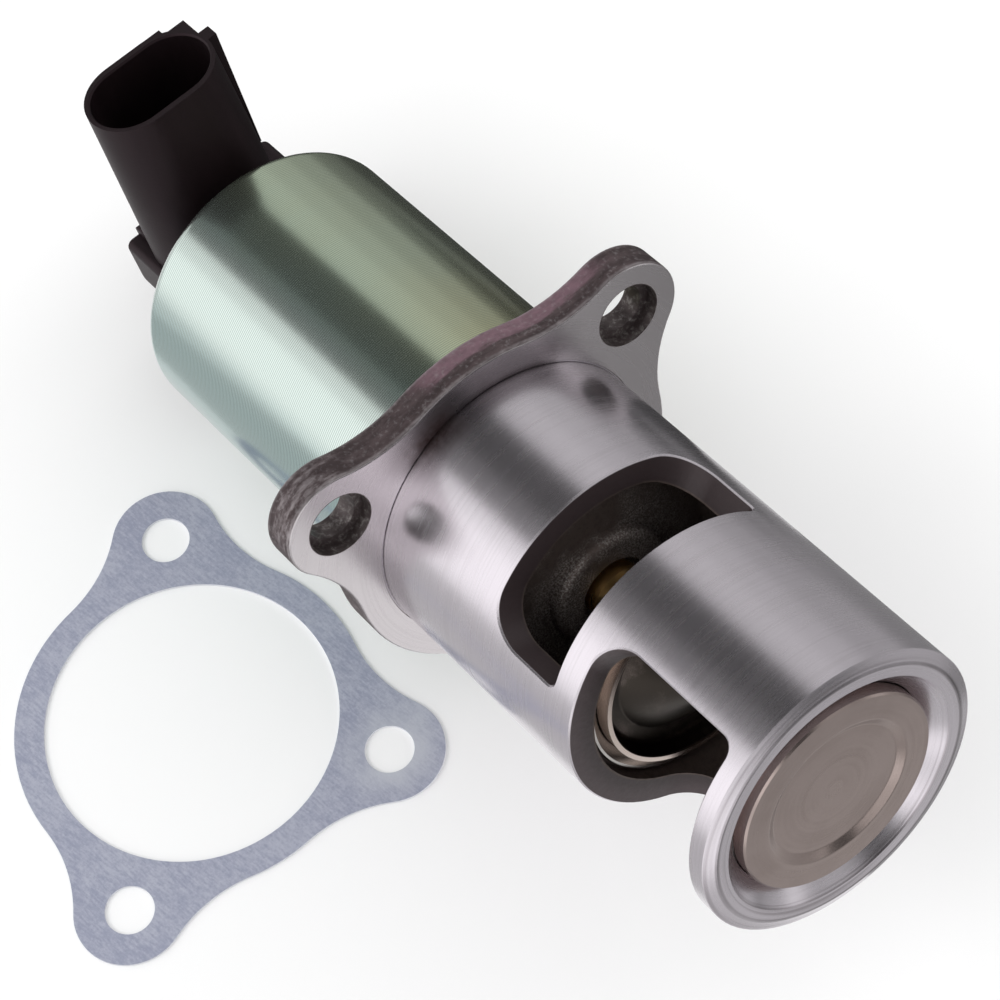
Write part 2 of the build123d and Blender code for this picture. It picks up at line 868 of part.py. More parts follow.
lean, height = lie_down()
rest = Plane(
    origin=(0, 0, height),
    x_dir=(-sin(lean), 0, cos(lean)),
    z_dir=(cos(lean), 0, sin(lean)),
)
valve_pieces = (
    valve_body,
    upper_seat_ring,
    stem_guide,
    stem_seal,
    valve_stem,
    upper_disc,
    end_disc,
    spring_retainer,
    retainer_clip,
    return_spring,
    solenoid_can,
    can_seal,
    pole_piece,
    rod_bush,
    coil_bobbin,
    coil_winding,
    armature_sleeve,
    armature,
    push_rod,
    rear_yoke,
    coil_leads,
    connector_head,
    head_seal,
    connector_terminals,
    sensor_slider,
    sensor_wiper,
    sensor_board,
    sensor_spring,
)
placed = {piece.__name__: rest.location * piece() for piece in valve_pieces}
gasket_place = Pos(-gasket_behind, -gasket_beside, 0) * Rot(0, 0, gasket_turn)
placed["flange_gasket"] = gasket_place * flange_gasket()

# The origin is the middle of the footprint, on the bench.
extent = Compound(list(placed.values())).bounding_box()
centre = Pos(-extent.center().X, -extent.center().Y, 0)

os.makedirs("parts", exist_ok=True)
for name, shape in placed.items():
    export_step(centre * shape, f"parts/{name}.step")
print("lean", degrees(lean), "height", height, "middle", *extent.center())
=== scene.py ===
import json
import logging
import math
from dataclasses import dataclass
from enum import Enum
from functools import cached_property
from typing import TypeAlias

import bmesh
import bpy
import numpy as np
from mathutils import Matrix, Vector

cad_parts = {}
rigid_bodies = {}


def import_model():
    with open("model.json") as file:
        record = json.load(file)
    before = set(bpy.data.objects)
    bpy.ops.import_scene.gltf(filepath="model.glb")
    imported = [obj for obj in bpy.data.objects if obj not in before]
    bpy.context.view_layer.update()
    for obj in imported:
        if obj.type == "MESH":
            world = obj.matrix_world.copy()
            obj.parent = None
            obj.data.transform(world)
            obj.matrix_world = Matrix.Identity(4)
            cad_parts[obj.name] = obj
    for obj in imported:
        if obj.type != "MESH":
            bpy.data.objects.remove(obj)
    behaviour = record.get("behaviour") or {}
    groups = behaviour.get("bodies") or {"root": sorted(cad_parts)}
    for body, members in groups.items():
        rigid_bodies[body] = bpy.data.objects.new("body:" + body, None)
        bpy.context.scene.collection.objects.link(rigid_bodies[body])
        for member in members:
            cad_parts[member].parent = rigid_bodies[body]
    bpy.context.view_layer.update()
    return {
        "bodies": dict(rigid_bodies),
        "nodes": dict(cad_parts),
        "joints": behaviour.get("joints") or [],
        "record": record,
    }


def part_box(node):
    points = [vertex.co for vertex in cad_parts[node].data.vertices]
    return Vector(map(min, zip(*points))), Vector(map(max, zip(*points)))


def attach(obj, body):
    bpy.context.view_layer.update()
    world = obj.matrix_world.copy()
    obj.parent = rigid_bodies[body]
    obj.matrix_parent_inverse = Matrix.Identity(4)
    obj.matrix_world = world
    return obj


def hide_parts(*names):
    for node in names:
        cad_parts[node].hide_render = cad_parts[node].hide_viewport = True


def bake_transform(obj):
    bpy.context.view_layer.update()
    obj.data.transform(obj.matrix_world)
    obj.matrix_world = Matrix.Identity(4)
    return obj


LOG = logging.getLogger("valve")
MM = 0.001

Colour: TypeAlias = tuple[float, float, float]
Point: TypeAlias = tuple[float, float, float]
Pair: TypeAlias = tuple[float, float]
Number: TypeAlias = "float | Value"
Paint: TypeAlias = "Colour | Tint"

WHITE: Colour = (1.0, 1.0, 1.0)
EVEN: Point = (1.0, 1.0, 1.0)


class Slot(Enum):
    """The record's material slots that show, or could show, from outside."""

    CAST_STEEL = "cast_steel"
    SEAT_STEEL = "seat_steel"
    BRONZE = "bronze"
    SEAL_RUBBER = "seal_rubber"
    SPRING_STEEL = "spring_steel"
    PLATED_CAN = "plated_can"
    SOFT_IRON = "soft_iron"
    BOBBIN_PLASTIC = "bobbin_plastic"
    COPPER = "copper"
    SLEEVE_STEEL = "sleeve_steel"
    BLACK_PLASTIC = "black_plastic"
    TINNED_BRASS = "tinned_brass"
    CERAMIC_BOARD = "ceramic_board"
    GASKET_SHEET = "gasket_sheet"
    STEM_STEEL = "stem_steel"
    DISC_STEEL = "disc_steel"


def place_object(name: str, data: bpy.types.ID) -> bpy.types.Object:
    """Adds an object at the origin of the scene.

    Args:
        name: Name of the object.
        data: Its mesh, light or camera.

    Returns:
        The object.
    """
    piece = bpy.data.objects.new(name, data)
    bpy.context.scene.collection.objects.link(piece)
    return piece


@dataclass(frozen=True)
class LocalFrame:
    """A piece's own axes inside the row frame, used for patterns and for exact normals.

    Attributes:
        origin: Where the frame's zero lies, in metres.
        x_axis: Unit vector of the frame's +X.
        z_axis: Unit vector of the frame's +Z, the axis that its turned surfaces share.
    """

    origin: Vector
    x_axis: Vector
    z_axis: Vector

    @property
    def y_axis(self) -> Vector:
        """Unit vector of +Y, square to the other two."""
        return self.z_axis.cross(self.x_axis).normalized()

    @property
    def matrix(self) -> Matrix:
        """Transform from frame coordinates in metres to row coordinates in metres."""
        turn = Matrix((self.x_axis, self.y_axis, self.z_axis)).transposed().to_4x4()
        return Matrix.Translation(self.origin) @ turn

    def along(self, distance: float) -> Vector:
        """Returns the point on the axis that lies a distance in metres from the origin."""
        return self.origin + distance * self.z_axis

    @classmethod
    def of_valve(
        cls, record: dict, barrel_mount: str, socket_mount: str, mount_height: float
    ) -> "LocalFrame":
        """Reads the valve's axis from the record's mounts.

        Args:
            record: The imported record.
            barrel_mount: Mount whose axis is the valve's axis.
            socket_mount: Mount whose axis points out of the plug socket.
            mount_height: How far the barrel mount's point lies from the flange face, in metres.

        Returns:
            Frame with its origin at the centre of the flange's mounting face.
        """
        mounts = {mount["name"]: mount for mount in record["mounts"]}
        z_axis = Vector(mounts[barrel_mount]["axis"]).normalized()
        out = Vector(mounts[socket_mount]["axis"])
        x_axis = (out - out.dot(z_axis) * z_axis).normalized()
        origin = Vector(mounts[barrel_mount]["pos_m"]) - mount_height * z_axis
        return cls(origin, x_axis, z_axis)

    @classmethod
    def of_node(cls, node: str, turn: float) -> "LocalFrame":
        """Upright frame at the middle of a node's box, turned about +Z.

        Args:
            node: CAD node whose box gives the middle.
            turn: Angle of +X from the row's +X, in degrees.

        Returns:
            Frame at the height of the box's foot.
        """
        low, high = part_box(node)
        middle = (low + high) / 2
        angle = math.radians(turn)
        return cls(
            Vector((middle.x, middle.y, low.z)),
            Vector((math.cos(angle), math.sin(angle), 0.0)),
            Vector((0.0, 0.0, 1.0)),
        )


@dataclass(frozen=True)
class Fade:
    """A smooth change from none of something at one value to all of it at another.

    Attributes:
        none_at: Value where none of it shows.
        all_at: Value where all of it shows; it may be the smaller of the two.
    """

    none_at: float
    all_at: float


@dataclass(frozen=True)
class Span:
    """A stretch of values, with ends that fade over a soft width outside it.

    Attributes:
        low: Where it starts.
        high: Where it ends.
        soft: Width of the fade at each end.
    """

    low: float
    high: float
    soft: float


@dataclass(frozen=True)
class Grain:
    """Fractal noise in the piece's own millimetres.

    Attributes:
        scale: Blotches per millimetre.
        detail: How many finer layers it has.
        roughness: How strong the finer layers are.
        stretch: How much closer the blotches lie along each axis.
    """

    scale: float
    detail: float = 3.0
    roughness: float = 0.55
    stretch: Point = EVEN


@dataclass(frozen=True)
class CutMarks:
    """Marks that a tool leaves round the axis, on cylinders, cones and end faces alike.

    Attributes:
        pitch: Distance from one mark to the next, in millimetres.
        persistence: How quickly a mark changes on its way round; small values give long marks.
        detail: How many finer layers the marks have.
        roughness: How strong the finer layers are.
    """

    pitch: float
    persistence: float = 3.0
    detail: float = 4.0
    roughness: float = 0.5


@dataclass(frozen=True)
class Layer:
    """A colour that lies over another where a pattern rises.

    Attributes:
        colour: The colour.
        fade: Values of the pattern where it begins to show and where it shows most.
        share: How much of it shows there.
    """

    colour: Colour
    fade: Fade
    share: float = 1.0

    def amount(self, pattern: "Value") -> "Value":
        """Returns how much of the layer a pattern lets through."""
        shown = pattern.fade(self.fade)
        return shown if self.share == 1.0 else shown * self.share


class Value:
    """A number inside a shader tree, with node arithmetic written as ordinary arithmetic."""

    def __init__(self, board: "Board", socket: bpy.types.NodeSocket) -> None:
        """Wraps a socket of a board's tree."""
        self.board = board
        self.socket = socket

    def _with(self, operation: str, *others: Number) -> "Value":
        """Adds a Math node that takes this value first.

        Args:
            operation: The node's operation.
            others: Its other inputs, in order.

        Returns:
            The node's result.
        """
        inputs = dict(enumerate((self, *others)))
        node = self.board.node("ShaderNodeMath", {"operation": operation}, inputs)
        return Value(self.board, node.outputs[0])

    def __add__(self, other: Number) -> "Value":
        """Returns the sum."""
        return self._with("ADD", other)

    def __radd__(self, other: float) -> "Value":
        """Returns the sum with a plain number on the left."""
        return self + other

    def __sub__(self, other: Number) -> "Value":
        """Returns the difference."""
        return self._with("SUBTRACT", other)

    def __rsub__(self, other: float) -> "Value":
        """Returns a plain number less this value."""
        return (self * -1.0) + other

    def __mul__(self, other: Number) -> "Value":
        """Returns the product."""
        return self._with("MULTIPLY", other)

    def __rmul__(self, other: float) -> "Value":
        """Returns the product with a plain number on the left."""
        return self * other

    def __truediv__(self, other: Number) -> "Value":
        """Returns the quotient."""
        return self._with("DIVIDE", other)

    def __pow__(self, power: Number) -> "Value":
        """Returns this value raised to a power."""
        return self._with("POWER", power)

    def __abs__(self) -> "Value":
        """Returns the value without its sign."""
        return self._with("ABSOLUTE")

    def least(self, other: Number) -> "Value":
        """Returns the smaller of the two."""
        return self._with("MINIMUM", other)

    def most(self, other: Number) -> "Value":
        """Returns the larger of the two."""
        return self._with("MAXIMUM", other)

    def sine(self) -> "Value":
        """Returns the sine of an angle in radians."""
        return self._with("SINE")

    def angle_to(self, x: "Value") -> "Value":
        """Returns atan2 of this value over x, in radians."""
        return self._with("ARCTAN2", x)

    def ramp(self, low: float, high: float) -> "Value":
        """Rises smoothly from 0 to 1, or falls from 1 to 0 where low is the larger.

        Args:
            low: Where the result is 0.
            high: Where the result is 1.

        Returns:
            The share, from 0 to 1.
        """
        rises = low < high
        inputs = {
            "Value": self,
            "From Min": min(low, high),
            "From Max": max(low, high),
            "To Min": 0.0 if rises else 1.0,
            "To Max": 1.0 if rises else 0.0,
        }
        settings = {"interpolation_type": "SMOOTHSTEP", "clamp": True}
        node = self.board.node("ShaderNodeMapRange", settings, inputs)
        return Value(self.board, node.outputs["Result"])

    def fade(self, fade: Fade, past: float = 0.0) -> "Value":
        """Returns the share that a fade gives, with the fade measured from a size where one is given."""
        return self.ramp(past + fade.none_at, past + fade.all_at)

    def within(self, span: Span) -> "Value":
        """Returns 1 inside a span, with edges that fade over its soft width."""
        rises = self.ramp(span.low - span.soft, span.low)
        return rises * self.ramp(span.high + span.soft, span.high)


class Tint:
    """A colour inside a shader tree, blended through Mix nodes."""

    def __init__(self, board: "Board", socket: bpy.types.NodeSocket) -> None:
        """Wraps a colour socket of a board's tree."""
        self.board = board
        self.socket = socket

    def toward(self, other: Paint, share: Number) -> "Tint":
        """Returns this colour blended toward another by the share."""
        return self.board.mix_colours(self, other, share)

    def under(self, layer: Layer, pattern: Value) -> "Tint":
        """Returns this colour with a layer over it where the pattern rises."""
        return self.toward(layer.colour, layer.amount(pattern))


class Board:
    """A node tree on which every node is set up and wired by one method.

    Attributes:
        COLOUR_INPUTS: Places of a Mix node's share, first and second input when it mixes colours.
        COLOUR_RESULT: Place of its result then.
        NUMBER_INPUTS: The same places when it mixes numbers.
        NUMBER_RESULT: Place of its result then.
    """

    COLOUR_INPUTS = (0, 6, 7)
    COLOUR_RESULT = 2
    NUMBER_INPUTS = (0, 2, 3)
    NUMBER_RESULT = 0

    def __init__(self, tree: bpy.types.NodeTree) -> None:
        """Takes a tree over and clears it."""
        self.tree = tree
        tree.nodes.clear()

    def node(
        self,
        kind: str,
        settings: dict[str, object] | None = None,
        inputs: dict[int | str, object] | None = None,
    ) -> bpy.types.Node:
        """Adds a node, sets it up and only then feeds its sockets.

        Args:
            kind: The node's type.
            settings: Its settings, such as an operation, by name.
            inputs: Values or links of its inputs, by name or place.

        Returns:
            The node.
        """
        node = self.tree.nodes.new(kind)
        for name, setting in (settings or {}).items():
            setattr(node, name, setting)
        for name, value in (inputs or {}).items():
            self._feed(node.inputs[name], value)
        return node

    def _feed(self, socket: bpy.types.NodeSocket, value: object) -> None:
        """Links a Value, Tint or socket, or writes a plain number, vector or colour.

        Args:
            socket: The input that is fed.
            value: What feeds it.
        """
        if isinstance(value, (Value, Tint)):
            self.tree.links.new(value.socket, socket)
        elif isinstance(value, bpy.types.NodeSocket):
            self.tree.links.new(value, socket)
        elif isinstance(value, tuple) and socket.type == "RGBA":
            socket.default_value = (*value, 1.0)
        else:
            socket.default_value = value

    def mix_colours(self, first: Paint, second: Paint, share: Number) -> Tint:
        """Blends two colours.

        Args:
            first: Colour at a share of 0.
            second: Colour at a share of 1.
            share: How far the blend has gone.

        Returns:
            The blended colour.
        """
        settings = {"data_type": "RGBA", "clamp_factor": True}
        inputs = dict(zip(self.COLOUR_INPUTS, (share, first, second)))
        return Tint(self, self.node("ShaderNodeMix", settings, inputs).outputs[self.COLOUR_RESULT])

    def lay(self, layer: Layer, below: Colour, pattern: Value) -> Tint:
        """Returns a plain colour with a layer over it where the pattern rises."""
        return self.mix_colours(below, layer.colour, layer.amount(pattern))

    def mix(self, first: Number, second: Number, share: Number) -> Value:
        """Blends two numbers.

        Args:
            first: Number at a share of 0.
            second: Number at a share of 1.
            share: How far the blend has gone.

        Returns:
            The blended number.
        """
        settings = {"data_type": "FLOAT", "clamp_factor": True}
        inputs = dict(zip(self.NUMBER_INPUTS, (share, first, second)))
        return Value(self, self.node("ShaderNodeMix", settings, inputs).outputs[self.NUMBER_RESULT])


class Recipe(Board):
    """One material's tree, with the coordinates of the piece's own frame at hand.

    Attributes:
        COAT_ROUGHNESS: Roughness of every clear coat.
    """

    COAT_ROUGHNESS = 0.25

    def __init__(self, name: str, frame: LocalFrame) -> None:
        """Starts a material whose patterns lie in a frame.

        Args:
            name: Name of the material.
            frame: Frame in which its coordinates are measured, in millimetres.
        """
        self.material = bpy.data.materials.new(name)
        self.material.use_nodes = True
        super().__init__(self.material.node_tree)
        placing = {
            "Vector": self.node("ShaderNodeTexCoord").outputs["Object"],
            "Location": frame.origin,
            "Rotation": frame.matrix.to_euler(),
            "Scale": (MM, MM, MM),
        }
        self.place = self.node("ShaderNodeMapping", {"vector_type": "TEXTURE"}, placing).outputs["Vector"]
        parts = self.node("ShaderNodeSeparateXYZ", inputs={0: self.place})
        self.x, self.y, self.z = (Value(self, socket) for socket in parts.outputs)
        self._drawn: dict[Grain | CutMarks, Value] = {}

    @cached_property
    def radius(self) -> Value:
        """Distance from the frame's axis."""
        return self.away_from(None)

    @cached_property
    def across(self) -> Value:
        """Cosine of the place round the axis: 1 toward +X, -1 toward -X."""
        return self.x / self.radius

    @cached_property
    def beside(self) -> Value:
        """Sine of the place round the axis: 1 toward +Y, -1 toward -Y."""
        return self.y / self.radius

    @cached_property
    def angle(self) -> Value:
        """Place round the axis in degrees, from +X toward +Y."""
        return self.y.angle_to(self.x) * math.degrees(1.0)

    def away_from(self, line: Pair | None) -> Value:
        """Distance from a line that runs along the frame's axis.

        Args:
            line: Where the line crosses the frame's XY plane, or None for the axis itself.

        Returns:
            The distance.
        """
        across, beside = (self.x, self.y) if line is None else (self.x - line[0], self.y - line[1])
        return (across**2.0 + beside**2.0) ** 0.5

    def vector(self, x: Number, y: Number, z: Number) -> bpy.types.NodeSocket:
        """Joins three numbers into a vector socket."""
        return self.node("ShaderNodeCombineXYZ", inputs={0: x, 1: y, 2: z}).outputs[0]

    def noise(self, grain: Grain) -> Value:
        """Fractal noise centred on zero, drawn once for each grain.

        Args:
            grain: Its size, fineness and stretch.

        Returns:
            The noise, roughly within half a unit each way.
        """
        if grain not in self._drawn:
            place = self.place
            if grain.stretch != EVEN:
                axes = zip((self.x, self.y, self.z), grain.stretch)
                place = self.vector(*(axis if factor == 1.0 else axis * factor for axis, factor in axes))
            self._drawn[grain] = self._fractal(place, grain.scale, grain.detail, grain.roughness)
        return self._drawn[grain]

    def marks(self, cut: CutMarks) -> Value:
        """Height of a tool's marks, centred on zero and drawn once for each cut.

        Args:
            cut: Their pitch, length and fineness.

        Returns:
            The height, roughly within half a unit each way.
        """
        if cut not in self._drawn:
            frequency = 1.0 / cut.pitch
            across, beside = self.across * cut.persistence, self.beside * cut.persistence
            ringed = self.vector(across, beside, (self.z + self.radius) * frequency)
            self._drawn[cut] = self._fractal(ringed, 1.0, cut.detail, cut.roughness)
        return self._drawn[cut]

    def _fractal(
        self, place: bpy.types.NodeSocket, scale: float, detail: float, roughness: float
    ) -> Value:
        """Adds fractal noise and centres it on zero.

        Args:
            place: Coordinates that it reads.
            scale: Blotches per unit of them.
            detail: How many finer layers it has.
            roughness: How strong those are.

        Returns:
            The noise.
        """
        inputs = {"Vector": place, "Scale": scale, "Detail": detail, "Roughness": roughness}
        node = self.node("ShaderNodeTexNoise", {"noise_dimensions": "3D"}, inputs)
        return Value(self, node.outputs["Fac"]) - 0.5

    def cells(self, scale: float) -> Value:
        """Returns the distance to the nearest of many scattered points, for pits and grain."""
        node = self.node("ShaderNodeTexVoronoi", {"feature": "F1"}, {"Vector": self.place, "Scale": scale})
        return Value(self, node.outputs["Distance"])

    def surface(
        self,
        colour: Paint,
        roughness: Number,
        metallic: Number,
        height: Value,
        coat: float = 0.0,
        specular: float = 0.5,
        specular_tint: Colour = WHITE,
    ) -> bpy.types.Material:
        """Closes the recipe with a principled surface.

        Args:
            colour: Base colour.
            roughness: Roughness from 0 to 1.
            metallic: Metal share from 0 to 1.
            height: Height of the relief in millimetres.
            coat: Weight of a clear coat.
            specular: Specular level of the part that is not metal.
            specular_tint: Tint of that part's reflections.

        Returns:
            The finished material.
        """
        relief = self.node("ShaderNodeBump", inputs={"Strength": 1.0, "Distance": MM, "Height": height})
        shader = self.node(
            "ShaderNodeBsdfPrincipled",
            inputs={
                "Base Color": colour,
                "Roughness": roughness,
                "Metallic": metallic,
                "Coat Weight": coat,
                "Coat Roughness": self.COAT_ROUGHNESS,
                "Specular IOR Level": specular,
                "Specular Tint": specular_tint,
                "Normal": relief.outputs["Normal"],
            },
        )
        self.node("ShaderNodeOutputMaterial", inputs={"Surface": shader.outputs["BSDF"]})
        return self.material


@dataclass(frozen=True)
class CartridgeSizes:
    """Sizes of the cartridge that its finishes follow.

    Lengths are in millimetres from the flange's mounting face or from the valve's axis, angles in
    degrees round that axis.
    """

    barrel_radius: float = 25.0
    chamber_radius: float = 20.3
    chamber_floor: float = 24.0
    boss_radius: float = 10.5
    boss_top: float = 26.6
    seat_height: float = 46.3
    between_discs: float = 62.0
    disc_rim_radius: float = 16.5
    port_end: float = 76.0
    nose: float = 80.0
    bevel_radius: float = 22.9
    flange_thickness: float = 6.3
    ear_reach: float = 34.4
    ear_angles: tuple[float, ...] = (52.3, -58.9, -152.5)
    pocket_radius: float = 5.6


SIZES = CartridgeSizes()

# Steels, scorch, painted shade and painted highlight colours, and grains that several zones of the casting
# share.
SCORCH_AND_SHADE: Colour = (0.035, 0.024, 0.025)
WORN_STEEL: Colour = (0.44, 0.41, 0.42)
FACED_STEEL: Colour = (0.60, 0.565, 0.58)
DULL_STEEL_AND_SHADE: Colour = (0.20, 0.175, 0.185)
HIGHLIGHT_SPECKS: Colour = (0.55, 0.52, 0.50)

CAST_GRAIN = Grain(1.1, 5.0, 0.62)
CAST_CLOUD = Grain(0.12)
CAST_FINE = Grain(14.0, 2.0)


@dataclass(frozen=True)
class FlangeShade:
    """Painted shade, dull and patchy, over the flange's face on the side that lies uppermost.

    Attributes:
        side: Stretch round the axis that it covers, in degrees.
        wander: How far its ends wander, in degrees.
        height: How far above the face it reaches, in millimetres.
        reach: Where it ends and where it is full, as radii in millimetres.
        strength: How much of it shows on the whole.
        patchiness: How much that varies.
    """

    side: Span = Span(-30.0, 26.0, 16.0)
    wander: float = 16.0
    height: Fade = Fade(1.5, 0.1)
    reach: Fade = Fade(36.0, 27.0)
    strength: float = 0.75
    patchiness: float = 0.6

    def share(self, r: Recipe) -> Value:
        """Draws the painted shade.

        Args:
            r: The casting's recipe.

        Returns:
            How much of it shows.
        """
        cloud = r.noise(CAST_CLOUD)
        above = (r.angle + cloud * self.wander).within(self.side)
        on_face = above * r.z.fade(self.height) * r.radius.fade(self.reach)
        return on_face * (self.strength + cloud * self.patchiness)


@dataclass(frozen=True)
class BurntStain:
    """Burnt stain round the barrel's foot, on one side of it.

    Attributes:
        colour: Its colour.
        reach: Where it ends and where it is full, as radii in millimetres.
        height: How far up the barrel it reaches, in millimetres.
        side: Stretch round the axis that it covers, in degrees.
        patches: Values of its pattern where a patch starts and where it is full.
        grain: Weight of the cast grain in that pattern.
        cloud: Weight of the broad blotches.
        level: What is added to both.
        strength: How much of it shows at most.
    """

    colour: Colour = (0.10, 0.055, 0.05)
    reach: Fade = Fade(29.5, 25.5)
    height: Fade = Fade(5.5, 0.5)
    side: Span = Span(13.0, 24.0, 9.0)
    patches: Fade = Fade(0.15, 0.75)
    grain: float = 0.5
    cloud: float = 1.4
    level: float = 0.5
    strength: float = 0.9

    def share(self, r: Recipe) -> Value:
        """Draws the stain.

        Args:
            r: The casting's recipe.

        Returns:
            How much of it shows.
        """
        foot = r.radius.fade(self.reach) * r.z.fade(self.height)
        pattern = r.noise(CAST_GRAIN) * self.grain + r.noise(CAST_CLOUD) * self.cloud + self.level
        return foot * r.angle.within(self.side) * pattern.fade(self.patches) * self.strength


@dataclass(frozen=True)
class BevelLine:
    """Fine dark line where the nose's bevel starts.

    Attributes:
        half_width: Half its width, in millimetres.
        soft: Width of its soft edges.
        depth: Where it fades in below the nose's end, in millimetres.
        strength: How dark it is on the whole.
        patchiness: How much that varies.
    """

    half_width: float = 0.15
    soft: float = 0.3
    depth: Fade = Fade(-0.4, -0.2)
    strength: float = 0.4
    patchiness: float = 0.6

    def share(self, r: Recipe) -> Value:
        """Draws the line.

        Args:
            r: The casting's recipe.

        Returns:
            How dark it is.
        """
        across = Span(SIZES.bevel_radius - self.half_width, SIZES.bevel_radius + self.half_width, self.soft)
        line = r.radius.within(across) * r.z.fade(self.depth, past=SIZES.nose)
        return line * (self.strength + r.noise(CAST_CLOUD) * self.patchiness)


@dataclass(frozen=True)
class FlangeEdge:
    """The flange's cast edge: mottled along its outline, bloomed by heat, rubbed at its rims and given a
    painted highlight on one ear.

    Attributes:
        colour: Its own colour.
        streaks: Long blotches that run along the outline.
        specks: Shorter ones.
        flecks: Where it was rubbed here and there.
        dark: Scorched blotches.
        dark_specks: Weight of the specks in them.
        bloom_colour: Colour that heat left on the rear half.
        bloom_side: Stretch of the bloom round the axis, in degrees.
        bloom_wander: How far its ends wander, in degrees.
        bloom_depth: Where it starts, in millimetres from the middle of the flange's thickness.
        bloom_streaks: How far the streaks shift that start, in millimetres.
        bloom_strength: How much of it shows on the whole.
        lit_ear: Stretch round the axis of the ear whose edge has a painted highlight, in degrees.
        lit_wander: How far its ends wander, in degrees.
        lit_patches: Values of its pattern where a patch starts and where it is full.
        lit_share: How much of it shows.
        rubbed: Worn steel in the flecks.
        front_rim: Where the front rim's wear starts, in millimetres from the flange's face.
        rear_rim: Where the rear rim's wear starts, in millimetres from the flange's rear.
        rim_strength: How much of the wear shows on the whole.
    """

    colour: Colour = (0.115, 0.085, 0.088)
    streaks: Grain = Grain(1.0, 4.0, 0.6, (0.16, 0.16, 0.75))
    specks: Grain = Grain(1.0, 4.0, 0.65, (0.55, 0.55, 1.2))
    flecks: Grain = Grain(1.2, 4.0, 0.6)
    dark: Layer = Layer(SCORCH_AND_SHADE, Fade(0.25, -0.2), 0.7)
    dark_specks: float = 0.6
    bloom_colour: Colour = (0.27, 0.165, 0.20)
    bloom_side: Span = Span(-42.0, 6.0, 10.0)
    bloom_wander: float = 30.0
    bloom_depth: Fade = Fade(0.8, -0.6)
    bloom_streaks: float = 4.0
    bloom_strength: float = 0.8
    lit_ear: Span = Span(42.0, 70.0, 8.0)
    lit_wander: float = 12.0
    lit_patches: Fade = Fade(-0.1, 0.35)
    lit_share: float = 0.3
    rubbed: Layer = Layer(WORN_STEEL, Fade(0.0, 0.26), 0.3)
    front_rim: Fade = Fade(-0.9, -0.35)
    rear_rim: Fade = Fade(1.0, 0.3)
    rim_strength: float = 0.3

    def tint(self, r: Recipe) -> Tint:
        """Draws the edge.

        Args:
            r: The casting's recipe.

        Returns:
            Its colour.
        """
        cloud, streaks, specks = r.noise(CAST_CLOUD), r.noise(self.streaks), r.noise(self.specks)
        middle, rear = -SIZES.flange_thickness / 2.0, -SIZES.flange_thickness
        bloom = (r.z + streaks * self.bloom_streaks).fade(self.bloom_depth, past=middle)
        bloom = bloom * (r.angle + cloud * self.bloom_wander).within(self.bloom_side)
        # Painted highlight on the edge of one ear.
        lit_ear = (r.angle + cloud * self.lit_wander).within(self.lit_ear)
        lit_ear = lit_ear * (streaks + specks).fade(self.lit_patches)
        rims = r.z.fade(self.front_rim).most(r.z.fade(self.rear_rim, past=rear))
        edge = r.lay(self.dark, self.colour, streaks + specks * self.dark_specks)
        edge = edge.toward(self.bloom_colour, bloom * (self.bloom_strength + specks))
        edge = edge.toward(FACED_STEEL, lit_ear * self.lit_share)
        edge = edge.under(self.rubbed, r.noise(self.flecks))
        return edge.toward(self.rubbed.colour, rims * (self.rim_strength + specks))


